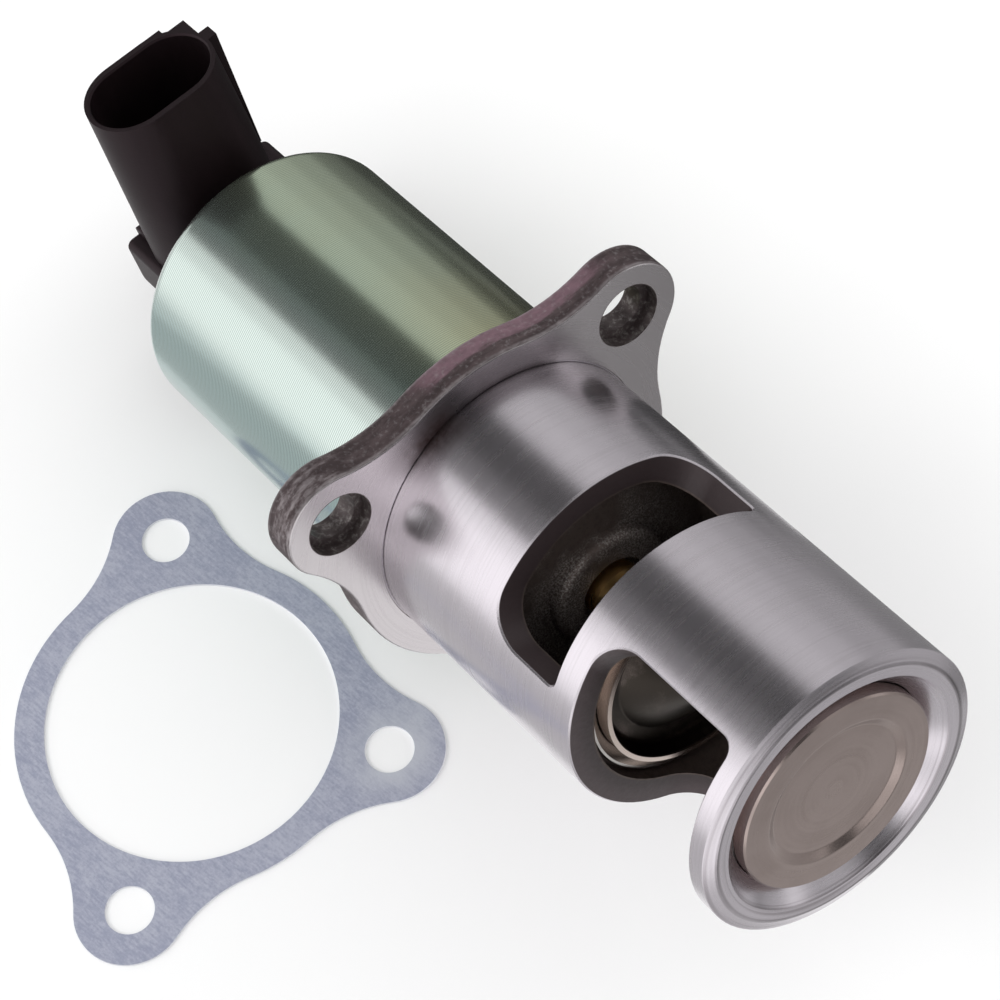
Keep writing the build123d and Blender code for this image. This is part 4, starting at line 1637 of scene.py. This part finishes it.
@dataclass(frozen=True)
class BladeRow:
    """The plug socket's row of flat terminals, drawn by a Geometry Nodes tree.

    Lengths are in millimetres in the valve's own frame: the blades point along +X and stand side by
    side in Y.

    Attributes:
        node: CAD node that it stands for.
        body: Body that it rides on.
        slot: Its slot.
        name: Name of the piece.
        count: How many blades there are.
        pitch: From one blade to the next.
        root: Where the blades start.
        tip: Where they end.
        level: Where they lie along the valve's axis.
        width: Width of a blade.
        thickness: Its thickness.
        corner: Radius of its long edges.
        corner_points: How many points round each of them.
        nose_length: Length of its narrowed nose.
        nose_scale: Size of the nose's end as a share of the blade's.
        stations: How many sections a blade is swept through.
    """

    node: str = "connector_terminals"
    body: str = "housing"
    slot: Slot = Slot.TINNED_BRASS
    name: str = "terminal_blades"
    count: int = 5
    pitch: float = 4.0
    root: float = 14.0
    tip: float = 30.5
    level: float = -83.7
    width: float = 1.5
    thickness: float = 0.8
    corner: float = 0.12
    corner_points: int = 3
    nose_length: float = 1.4
    nose_scale: float = 0.6
    stations: int = 40

    def build(self, frame: LocalFrame, material: bpy.types.Material) -> bpy.types.Object:
        """Evaluates the tree and keeps its result as one plain mesh.

        Args:
            frame: The valve's frame.
            material: Material of the blades.

        Returns:
            The row, at the origin.
        """
        tree = self._tree()
        host = place_object("blade_host", bpy.data.meshes.new("blade_host"))
        modifier = host.modifiers.new("blades", "NODES")
        modifier.node_group = tree
        settings = self._settings(material)
        for item in tree.interface.items_tree:
            if item.in_out == "INPUT":
                modifier[item.identifier] = settings[item.name]
        evaluated = host.evaluated_get(bpy.context.evaluated_depsgraph_get())
        mesh = bpy.data.meshes.new_from_object(evaluated)
        mesh.name = self.name
        bpy.data.objects.remove(host)
        mesh.transform(frame.matrix)
        work = bmesh.new()
        work.from_mesh(mesh)
        bmesh.ops.remove_doubles(work, verts=work.verts, dist=Shading.MERGE)
        bmesh.ops.recalc_face_normals(work, faces=work.faces)
        work.to_mesh(mesh)
        work.free()
        Shading.smooth(mesh)
        return place_object(self.name, mesh)

    def _settings(self, material: bpy.types.Material) -> dict[str, object]:
        """Works out the tree's inputs in metres.

        Args:
            material: Material of the blades.

        Returns:
            Each input's value by its name.
        """
        length = self.tip - self.root
        half_row = self.pitch * (self.count - 1) / 2.0
        return {
            "Count": self.count,
            "Start": (self.root * MM, -half_row * MM, self.level * MM),
            "Pitch": (0.0, self.pitch * MM, 0.0),
            "Length": length * MM,
            "Nose Start": (length - self.nose_length) * MM,
            "Nose Scale": self.nose_scale,
            "Width": self.width * MM,
            "Thickness": self.thickness * MM,
            "Corner": self.corner * MM,
            "Stations": self.stations,
            "Material": material,
        }

    def _tree(self) -> bpy.types.GeometryNodeTree:
        """Builds the tree: a blade, set along a line.

        Returns:
            The tree, with a named input for each size.
        """
        tree = bpy.data.node_groups.new("blade_row", "GeometryNodeTree")
        kinds = {
            "Count": "NodeSocketInt",
            "Start": "NodeSocketVector",
            "Pitch": "NodeSocketVector",
            "Length": "NodeSocketFloat",
            "Nose Start": "NodeSocketFloat",
            "Nose Scale": "NodeSocketFloat",
            "Width": "NodeSocketFloat",
            "Thickness": "NodeSocketFloat",
            "Corner": "NodeSocketFloat",
            "Stations": "NodeSocketInt",
            "Material": "NodeSocketMaterial",
        }
        for name, kind in kinds.items():
            tree.interface.new_socket(name=name, in_out="INPUT", socket_type=kind)
        tree.interface.new_socket(name="Geometry", in_out="OUTPUT", socket_type="NodeSocketGeometry")
        board = Board(tree)
        given = board.node("NodeGroupInput").outputs
        blade = self._blade(board, given)
        starts = {"Count": given["Count"], "Start Location": given["Start"], "Offset": given["Pitch"]}
        points = board.node("GeometryNodeMeshLine", {"mode": "OFFSET"}, starts).outputs[0]
        placed = {"Points": points, "Instance": blade}
        row = board.node("GeometryNodeInstanceOnPoints", inputs=placed).outputs[0]
        row = board.node("GeometryNodeRealizeInstances", inputs={"Geometry": row}).outputs[0]
        painted = {"Geometry": row, "Material": given["Material"]}
        row = board.node("GeometryNodeSetMaterial", inputs=painted).outputs[0]
        board.node("NodeGroupOutput", inputs={"Geometry": row})
        return tree

    def _blade(self, board: Board, given: bpy.types.NodeOutputs) -> bpy.types.NodeSocket:
        """Sweeps a rounded section into one blade with a narrowed nose.

        Args:
            board: The tree's board.
            given: The tree's inputs.

        Returns:
            The blade's mesh, along +X from the origin.
        """
        end = board.node("ShaderNodeCombineXYZ", inputs={"X": given["Length"]}).outputs[0]
        line = board.node("GeometryNodeCurvePrimitiveLine", {"mode": "POINTS"}, {"End": end}).outputs[0]
        divided = {"Curve": line, "Count": given["Stations"]}
        spine = board.node("GeometryNodeResampleCurve", inputs=divided).outputs[0]
        spine = board.node("GeometryNodeSetCurveNormal", {"mode": "Z_UP"}, {"Curve": spine}).outputs[0]
        place = board.node("GeometryNodeInputPosition").outputs[0]
        along = board.node("ShaderNodeSeparateXYZ", inputs={"Vector": place}).outputs["X"]
        nose = {"Value": along, "From Min": given["Nose Start"], "From Max": given["Length"], "To Min": 1.0}
        nose["To Max"] = given["Nose Scale"]
        eased = {"interpolation_type": "SMOOTHSTEP"}
        narrowed = board.node("ShaderNodeMapRange", eased, nose).outputs["Result"]
        tapered = {"Curve": spine, "Radius": narrowed}
        spine = board.node("GeometryNodeSetCurveRadius", inputs=tapered).outputs[0]
        sides = {"Width": given["Width"], "Height": given["Thickness"]}
        oblong = {"mode": "RECTANGLE"}
        section = board.node("GeometryNodeCurvePrimitiveQuadrilateral", oblong, sides).outputs[0]
        corners = {"Curve": section, "Radius": given["Corner"], "Limit Radius": True}
        corners["Count"] = self.corner_points
        section = board.node("GeometryNodeFilletCurve", {"mode": "POLY"}, corners).outputs[0]
        swept = {"Curve": spine, "Profile Curve": section, "Fill Caps": True}
        return board.node("GeometryNodeCurveToMesh", inputs=swept).outputs[0]


@dataclass(frozen=True)
class Dress:
    """How one CAD node is shown.

    Attributes:
        node: The node.
        body: Body that its piece rides on.
        slot: Its slot.
    """

    node: str
    body: str
    slot: Slot


@dataclass(frozen=True)
class CoilSpring:
    """An inner spring that lies between the housing and the body at its moving end.

    Attributes:
        node: CAD node that it stands for.
        slot: Its slot.
        follows: Body that its moving end follows.
        fixed_end: Where the end on the housing lies along the valve's axis, in millimetres.
        moving_end: Where the other end lies.
    """

    node: str
    slot: Slot
    follows: str
    fixed_end: float
    moving_end: float


class Wardrobe:
    """Finishes by slot, built once each, and the pieces that wear them."""

    def __init__(
        self, shading: Shading, frames: dict[Slot, LocalFrame], finishes: dict[Slot, Finish]
    ) -> None:
        """Builds every material.

        Args:
            shading: Maker of the shaded copies.
            frames: Frame that each slot's patterns and turned faces lie in.
            finishes: Finish of each slot.
        """
        self.shading = shading
        self.frames = frames
        self.materials = {
            slot: finish.build(slot.value, frames[slot]) for slot, finish in finishes.items()
        }

    def paint(self, piece: bpy.types.Object, slot: Slot) -> None:
        """Gives a piece its slot's material alone."""
        piece.data.materials.clear()
        piece.data.materials.append(self.materials[slot])

    def wear(self, piece: bpy.types.Object, node: str, body: str, slot: Slot) -> None:
        """Lets a rigid piece stand for a CAD node.

        Args:
            piece: The piece.
            node: The node.
            body: Body that the piece rides on.
            slot: Slot whose material it wears.
        """
        self.paint(piece, slot)
        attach(piece, body)
        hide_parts(node)

    def dress(self, dress: Dress) -> bpy.types.Object:
        """Shows a shaded copy in place of a CAD node.

        Args:
            dress: The node with its body and slot.

        Returns:
            The copy.
        """
        piece = self.shading.copy(dress.node, self.frames[dress.slot])
        self.wear(piece, dress.node, dress.body, dress.slot)
        LOG.info("%s: %d faces in %s", piece.name, len(piece.data.polygons), dress.slot.value)
        return piece

    def stretch(self, spring: CoilSpring, body: str) -> bpy.types.Object:
        """Shows a shaded copy in place of a spring that lies between the body it rests on and the one it
        follows.

        Args:
            spring: The spring.
            body: Body that its fixed end rests on.

        Returns:
            The spring's piece.
        """
        frame = self.frames[spring.slot]
        piece = self.shading.copy(spring.node, frame)
        self.paint(piece, spring.slot)
        start, end = frame.along(spring.fixed_end * MM), frame.along(spring.moving_end * MM)
        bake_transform(piece)
        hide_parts(spring.node)
        faces = len(piece.data.polygons)
        LOG.info("%s: %d faces between %s and %s", piece.name, faces, body, spring.follows)
        return piece

    def fit(self, row: BladeRow) -> bpy.types.Object:
        """Shows a drawn row in place of its CAD node.

        Args:
            row: The row of blades.

        Returns:
            The row's piece.
        """
        piece = row.build(self.frames[row.slot], self.materials[row.slot])
        self.wear(piece, row.node, row.body, row.slot)
        LOG.info("%s: %d blades, %d faces", piece.name, row.count, len(piece.data.polygons))
        return piece

    def finish_in_place(self, node: bpy.types.Object, slot: Slot) -> None:
        """Gives a CAD node that keeps its own mesh its slot's material."""
        self.paint(node, slot)
        LOG.info("%s: kept as it is in %s", node.name, slot.value)


@dataclass(frozen=True)
class SoftBox:
    """One large area light, aimed at the object.

    Attributes:
        name: Its name.
        place: Where it stands, in metres.
        size: Its two sides, in metres.
        power: Its power, in watts.
        colour: Its colour.
    """

    name: str
    place: Point
    size: Pair
    power: float
    colour: Colour = WHITE

    def build(self, aim: Point) -> None:
        """Adds the light.

        Args:
            aim: Point that it faces, in metres.
        """
        light = bpy.data.lights.new(self.name, "AREA")
        light.shape = "RECTANGLE"
        light.size, light.size_y = self.size
        light.energy = self.power
        light.color = self.colour
        lamp = place_object(self.name, light)
        lamp.location = self.place
        lamp.visible_glossy = False
        lamp.rotation_euler = (Vector(aim) - Vector(self.place)).to_track_quat("-Z", "Y").to_euler()


class Reflector:
    """A stage piece that only reflections see.

    Attributes:
        name: Name of the piece and its material.
        shade: Brightness that a mirror would show, 1 being white.
    """

    name: str
    shade: float

    def hang(self, corners: list[Vector], faces: list[tuple[int, ...]]) -> None:
        """Adds the piece, evenly bright.

        Args:
            corners: Its points, in metres.
            faces: Its faces, as indices of the points.
        """
        mesh = bpy.data.meshes.new(self.name)
        mesh.from_pydata(corners, [], faces)
        material = bpy.data.materials.new(self.name)
        material.use_nodes = True
        material.cycles.emission_sampling = "NONE"
        board = Board(material.node_tree)
        glow = board.node("ShaderNodeEmission", inputs={"Color": WHITE, "Strength": self.shade})
        board.node("ShaderNodeOutputMaterial", inputs={"Surface": glow.outputs[0]})
        mesh.materials.append(material)
        piece = place_object(self.name, mesh)
        piece.visible_camera = False
        piece.visible_diffuse = False
        piece.visible_shadow = False
        piece.visible_transmission = False


@dataclass(frozen=True)
class TentPanel(Reflector):
    """One strip of a reflecting tent that runs along the valve's axis.

    Attributes:
        name: Name of the strip.
        start: Where it starts round the axis, in degrees from the connector's side.
        end: Where it ends.
        shade: Its brightness.
        foot: Where it starts along the axis, in metres from the flange's face.
        head: Where it ends along the axis.
        radius: Its distance from the axis.
        step: Largest angle between two of its folds.
    """

    name: str
    start: float
    end: float
    shade: float
    foot: float = -1.0
    head: float = 1.0
    radius: float = 0.55
    step: float = 4.0

    def build(self, frame: LocalFrame) -> None:
        """Adds the strip.

        Args:
            frame: The valve's frame.
        """
        count = max(1, round((self.end - self.start) / self.step))
        corners = []
        for place in range(count + 1):
            angle = math.radians(self.start + (self.end - self.start) * place / count)
            for along in (self.foot, self.head):
                local = Vector((self.radius * math.cos(angle), self.radius * math.sin(angle), along))
                corners.append(frame.matrix @ local)
        self.hang(corners, [(2 * k, 2 * k + 1, 2 * k + 3, 2 * k + 2) for k in range(count)])


def rectangle(low: Pair, high: Pair, height: float) -> list[Vector]:
    """Returns the corners of a level rectangle, in order round it."""
    (x0, y0), (x1, y1) = low, high
    return [Vector((x, y, height)) for x, y in ((x0, y0), (x1, y0), (x1, y1), (x0, y1))]


@dataclass(frozen=True)
class TableCard(Reflector):
    """A reflector that lies just above the table.

    Attributes:
        name: Name of the card.
        low: Its corner at the smaller x and y, in metres.
        high: Its corner at the larger x and y.
        shade: Its brightness.
        height: How far it lies above the table.
    """

    name: str
    low: Pair
    high: Pair
    shade: float
    height: float = 0.0003

    def build(self) -> None:
        """Adds the card."""
        self.hang(rectangle(self.low, self.high, self.height), [(0, 1, 2, 3)])


@dataclass(frozen=True)
class Studio:
    """White table and background, soft boxes, and a tent of panels for the metal to reflect.

    Attributes:
        aim: Point that the soft boxes face, in metres.
        floor_half: Half the table's width.
        floor_shade: How white the table is.
        ambient: Brightness of the room as the surfaces are lit by it, 1 being white.
        boxes: The soft boxes.
        panels: The tent round the valve's axis.
        table_cards: What the turned metal reflects of the table, side by side without an overlap.
    """

    aim: Point = (0.01, 0.02, 0.03)
    floor_half: float = 3.0
    floor_shade: float = 0.97
    ambient: float = 0.95
    boxes: tuple[SoftBox, ...] = (
        SoftBox("key_box", (-0.35, -0.75, 0.85), (0.9, 0.6), 3.0),
        SoftBox("rim_box", (0.35, 0.95, 0.55), (0.7, 0.5), 2.0),
    )
    panels: tuple[TentPanel, ...] = (
        TentPanel("tent_far_low", -84.0, -66.0, 0.44),
        TentPanel("tent_far_mid", -66.0, -46.0, 0.58),
        TentPanel("tent_far_high", -46.0, -20.5, 0.7),
        TentPanel("tent_top", -20.5, 12.0, 0.08),
        TentPanel("tent_near_high", 12.0, 33.0, 0.2),
        TentPanel("tent_near_mid", 33.0, 48.0, 1.15),
        TentPanel("tent_near_low", 48.0, 84.0, 1.5),
        TentPanel("tent_past_nose", -180.0, 45.0, 0.1, foot=1.0, head=3.2),
    )
    table_cards: tuple[TableCard, ...] = (
        TableCard("table_far", (-1.2, 0.03), (0.0, 0.105), 0.05),
        TableCard("table_far_can", (-1.2, 0.105), (-0.065, 0.14), 0.16),
        TableCard("table_far_barrel", (-0.065, 0.105), (0.0, 0.14), 0.05),
        TableCard("table_beyond_can", (-1.2, 0.14), (-0.13, 0.26), 0.2),
        TableCard("table_beyond_barrel", (-0.13, 0.14), (-0.05, 0.26), 0.07),
        TableCard("table_beyond_nose", (-0.05, 0.14), (0.0, 0.26), 0.3),
        TableCard("table_end_can", (-1.2, 0.26), (-0.23, 1.2), 0.48),
        TableCard("table_end_barrel", (-0.23, 0.26), (-0.145, 0.45), 0.08),
        TableCard("table_end_nose", (-0.145, 0.26), (0.0, 0.45), 0.48),
        TableCard("table_end_last", (-0.23, 0.45), (0.0, 1.2), 0.48),
        TableCard("table_end_far", (0.0, 0.088), (0.14, 1.2), 0.26),
        TableCard("table_far_nose", (0.14, 0.088), (0.6, 1.2), 0.5),
        TableCard("table_past_nose", (0.6, 0.03), (2.8, 1.2), 0.12),
        TableCard("table_flange_far", (0.025, 0.036), (0.1, 0.088), 0.3),
        TableCard("table_flange_near", (-0.005, -0.012), (0.1, 0.036), 1.05),
        TableCard("table_nose", (0.1, -0.012), (0.148, 0.088), 0.64),
        TableCard("table_nose_end", (0.148, -0.012), (0.6, 0.088), 0.47),
        TableCard("table_near_can", (-1.2, -0.165), (-0.125, -0.012), 0.85),
        TableCard("table_near", (-0.125, -0.2), (0.165, -0.012), 0.62),
        TableCard("table_near_nose", (0.165, -0.2), (0.6, -0.012), 1.35),
        TableCard("table_edge_can", (-1.2, -1.2), (-0.125, -0.165), 1.3),
        TableCard("table_edge", (-0.125, -1.2), (0.6, -0.2), 1.25),
    )

    def build(self, valve: LocalFrame) -> None:
        """Adds everything that stands round the object.

        Args:
            valve: The valve's frame, which the tent follows.
        """
        self._room()
        self._floor()
        for box in self.boxes:
            box.build(self.aim)
        for panel in self.panels:
            panel.build(valve)
        for card in self.table_cards:
            card.build()
        bpy.context.scene.view_settings.view_transform = "Standard"
        counts = len(self.boxes), len(self.panels), len(self.table_cards)
        LOG.info("studio: %d boxes, %d panels, %d cards", *counts)

    def _room(self) -> None:
        """Makes the world: white where it is seen, and a little dimmer where it lights the surfaces."""
        world = bpy.data.worlds.new("white_room")
        bpy.context.scene.world = world
        world.use_nodes = True
        board = Board(world.node_tree)
        path = board.node("ShaderNodeLightPath").outputs
        rays = ("Is Camera Ray", "Is Glossy Ray", "Is Transmission Ray")
        camera, glossy, through = (Value(board, path[ray]) for ray in rays)
        strength = board.mix(self.ambient, 1.0, camera.most(glossy).most(through))
        background = board.node("ShaderNodeBackground", inputs={"Color": WHITE, "Strength": strength})
        board.node("ShaderNodeOutputWorld", inputs={"Surface": background.outputs[0]})

    def _floor(self) -> None:
        """Adds the table, matt and nearly white, which keeps the shadow."""
        mesh = bpy.data.meshes.new("floor")
        half = self.floor_half
        mesh.from_pydata(rectangle((-half, -half), (half, half), 0.0), [], [(0, 1, 2, 3)])
        material = bpy.data.materials.new("floor")
        material.use_nodes = True
        board = Board(material.node_tree)
        matt = {"Base Color": (self.floor_shade,) * 3, "Roughness": 1.0, "Specular IOR Level": 0.0}
        shader = board.node("ShaderNodeBsdfPrincipled", inputs=matt)
        board.node("ShaderNodeOutputMaterial", inputs={"Surface": shader.outputs[0]})
        mesh.materials.append(material)
        place_object("floor", mesh)


@dataclass(frozen=True)
class Viewpoint:
    """The camera.

    Attributes:
        offset: Where it stands from the valve's own origin, in metres.
        forward: Where it looks.
        up: Which way is up in its picture.
        lens: Focal length in millimetres.
        sensor: Width of its sensor in millimetres.
        nearest: Distance in metres below which it sees nothing.
    """

    offset: Point = (0.2183, -0.113005, 0.479082)
    forward: Point = (-0.40713, 0.2064, -0.88974)
    up: Point = (-0.65881, 0.60835, 0.44259)
    lens: float = 122.4
    sensor: float = 36.0
    nearest: float = 0.01

    def build(self, valve: LocalFrame) -> None:
        """Adds the camera and makes it the scene's own.

        Args:
            valve: The valve's frame.
        """
        forward = Vector(self.forward).normalized()
        right = forward.cross(Vector(self.up)).normalized()
        turn = Matrix((right, right.cross(forward), -forward)).transposed().to_4x4()
        data = bpy.data.cameras.new("camera")
        data.lens = self.lens
        data.sensor_width = self.sensor
        data.clip_start = self.nearest
        camera = place_object("camera", data)
        camera.matrix_world = Matrix.Translation(valve.origin + Vector(self.offset)) @ turn
        bpy.context.scene.camera = camera


@dataclass(frozen=True)
class Plan:
    """What of the record the scene follows, and how each piece is shown.

    Attributes:
        barrel_mount: Mount on the valve's axis.
        socket_mount: Mount that points out of the plug socket.
        barrel_mount_height: How far the barrel mount lies from the flange's face, in millimetres.
        gasket: Node of the loose gasket.
        gasket_turn: Angle of the gasket's rolling grain from the row's +X, in degrees.
        fixed_body: Body that stands still.
        visible: Nodes that are shown as shaded copies.
        springs: Springs between the housing and a moving body.
        blades: The row of terminals.
    """

    barrel_mount: str = "cartridge_barrel"
    socket_mount: str = "plug_socket"
    barrel_mount_height: float = 14.0
    gasket: str = "flange_gasket"
    gasket_turn: float = 8.0
    fixed_body: str = "housing"
    visible: tuple[Dress, ...] = (
        Dress("valve_body", "housing", Slot.CAST_STEEL),
        Dress("upper_seat_ring", "housing", Slot.SEAT_STEEL),
        Dress("stem_guide", "housing", Slot.BRONZE),
        Dress("solenoid_can", "housing", Slot.PLATED_CAN),
        Dress("connector_head", "housing", Slot.BLACK_PLASTIC),
        Dress("flange_gasket", "housing", Slot.GASKET_SHEET),
        Dress("valve_stem", "valve", Slot.STEM_STEEL),
        Dress("upper_disc", "valve", Slot.DISC_STEEL),
        Dress("end_disc", "valve", Slot.DISC_STEEL),
    )
    springs: tuple[CoilSpring, ...] = (
        CoilSpring("return_spring", Slot.SPRING_STEEL, "valve", 14.0, -1.9),
        CoilSpring("sensor_spring", Slot.SPRING_STEEL, "sensor", -88.0, -72.0),
    )
    blades: BladeRow = BladeRow()

    @property
    def shown(self) -> set[str]:
        """Names of the CAD nodes that a piece of the scene stands for."""
        dressed = {dress.node for dress in self.visible} | {spring.node for spring in self.springs}
        return dressed | {self.blades.node}


def make_finishes() -> dict[Slot, Finish]:
    """Chooses the colours and the marks of every slot.

    Returns:
        The finish of every slot in the record.
    """
    return {
        Slot.CAST_STEEL: CartridgeFinish(),
        Slot.SEAT_STEEL: TurnedFinish((0.55, 0.52, 0.50), (0.34, 0.31, 0.30), 0.24),
        Slot.BRONZE: TurnedFinish((0.85, 0.55, 0.22), (0.50, 0.24, 0.10), 0.3),
        Slot.SEAL_RUBBER: MouldedFinish((0.02, 0.02, 0.02), (0.035, 0.035, 0.035), 0.6),
        Slot.SPRING_STEEL: TurnedFinish((0.42, 0.42, 0.43), (0.28, 0.28, 0.30), 0.3),
        Slot.PLATED_CAN: PassivatedTurnedFinish(),
        Slot.SOFT_IRON: TurnedFinish((0.38, 0.38, 0.38), (0.26, 0.25, 0.25), 0.4),
        Slot.BOBBIN_PLASTIC: MouldedFinish((0.62, 0.60, 0.54), (0.7, 0.68, 0.62), 0.5),
        Slot.COPPER: TurnedFinish(
            (0.70, 0.32, 0.16), (0.5, 0.2, 0.1), 0.3, mark_pitch=0.5, mark_depth=0.02
        ),
        Slot.SLEEVE_STEEL: TurnedFinish((0.58, 0.58, 0.58), (0.42, 0.42, 0.42), 0.25),
        Slot.BLACK_PLASTIC: MouldedFinish(
            (0.006, 0.0035, 0.004),
            (0.013, 0.008, 0.009),
            0.52,
            specular=0.32,
            specular_tint=(1.0, 0.72, 0.82),
        ),
        Slot.TINNED_BRASS: TurnedFinish((0.66, 0.63, 0.55), (0.5, 0.47, 0.4), 0.28),
        Slot.CERAMIC_BOARD: MouldedFinish((0.78, 0.78, 0.74), (0.7, 0.7, 0.66), 0.45),
        Slot.GASKET_SHEET: RolledFinish((0.53, 0.55, 0.65), (0.36, 0.38, 0.50), 0.5),
        Slot.STEM_STEEL: TurnedFinish(
            (0.385, 0.315, 0.295), (0.34, 0.275, 0.255), 0.26, mark_pitch=0.1, mark_depth=0.001
        ),
        Slot.DISC_STEEL: DiscFinish(),
    }


def main() -> None:
    """Builds the whole picture."""
    logging.basicConfig(level=logging.INFO, format="%(name)s: %(message)s")
    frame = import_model()
    plan = Plan()
    height = plan.barrel_mount_height * MM
    valve = LocalFrame.of_valve(frame["record"], plan.barrel_mount, plan.socket_mount, height)
    gasket = LocalFrame.of_node(plan.gasket, plan.gasket_turn)
    frames = {slot: gasket if slot is Slot.GASKET_SHEET else valve for slot in Slot}
    wardrobe = Wardrobe(Shading(frame["nodes"]), frames, make_finishes())
    for dress in plan.visible:
        wardrobe.dress(dress)
    wardrobe.fit(plan.blades)
    for spring in plan.springs:
        wardrobe.stretch(spring, plan.fixed_body)
    slots = {part["node"]: Slot(part["material_slot"]) for part in frame["record"]["subparts"]}
    for name, node in frame["nodes"].items():
        if name not in plan.shown:
            wardrobe.finish_in_place(node, slots[name])
    Studio().build(valve)
    Viewpoint().build(valve)


if __name__ == "__main__":
    main()
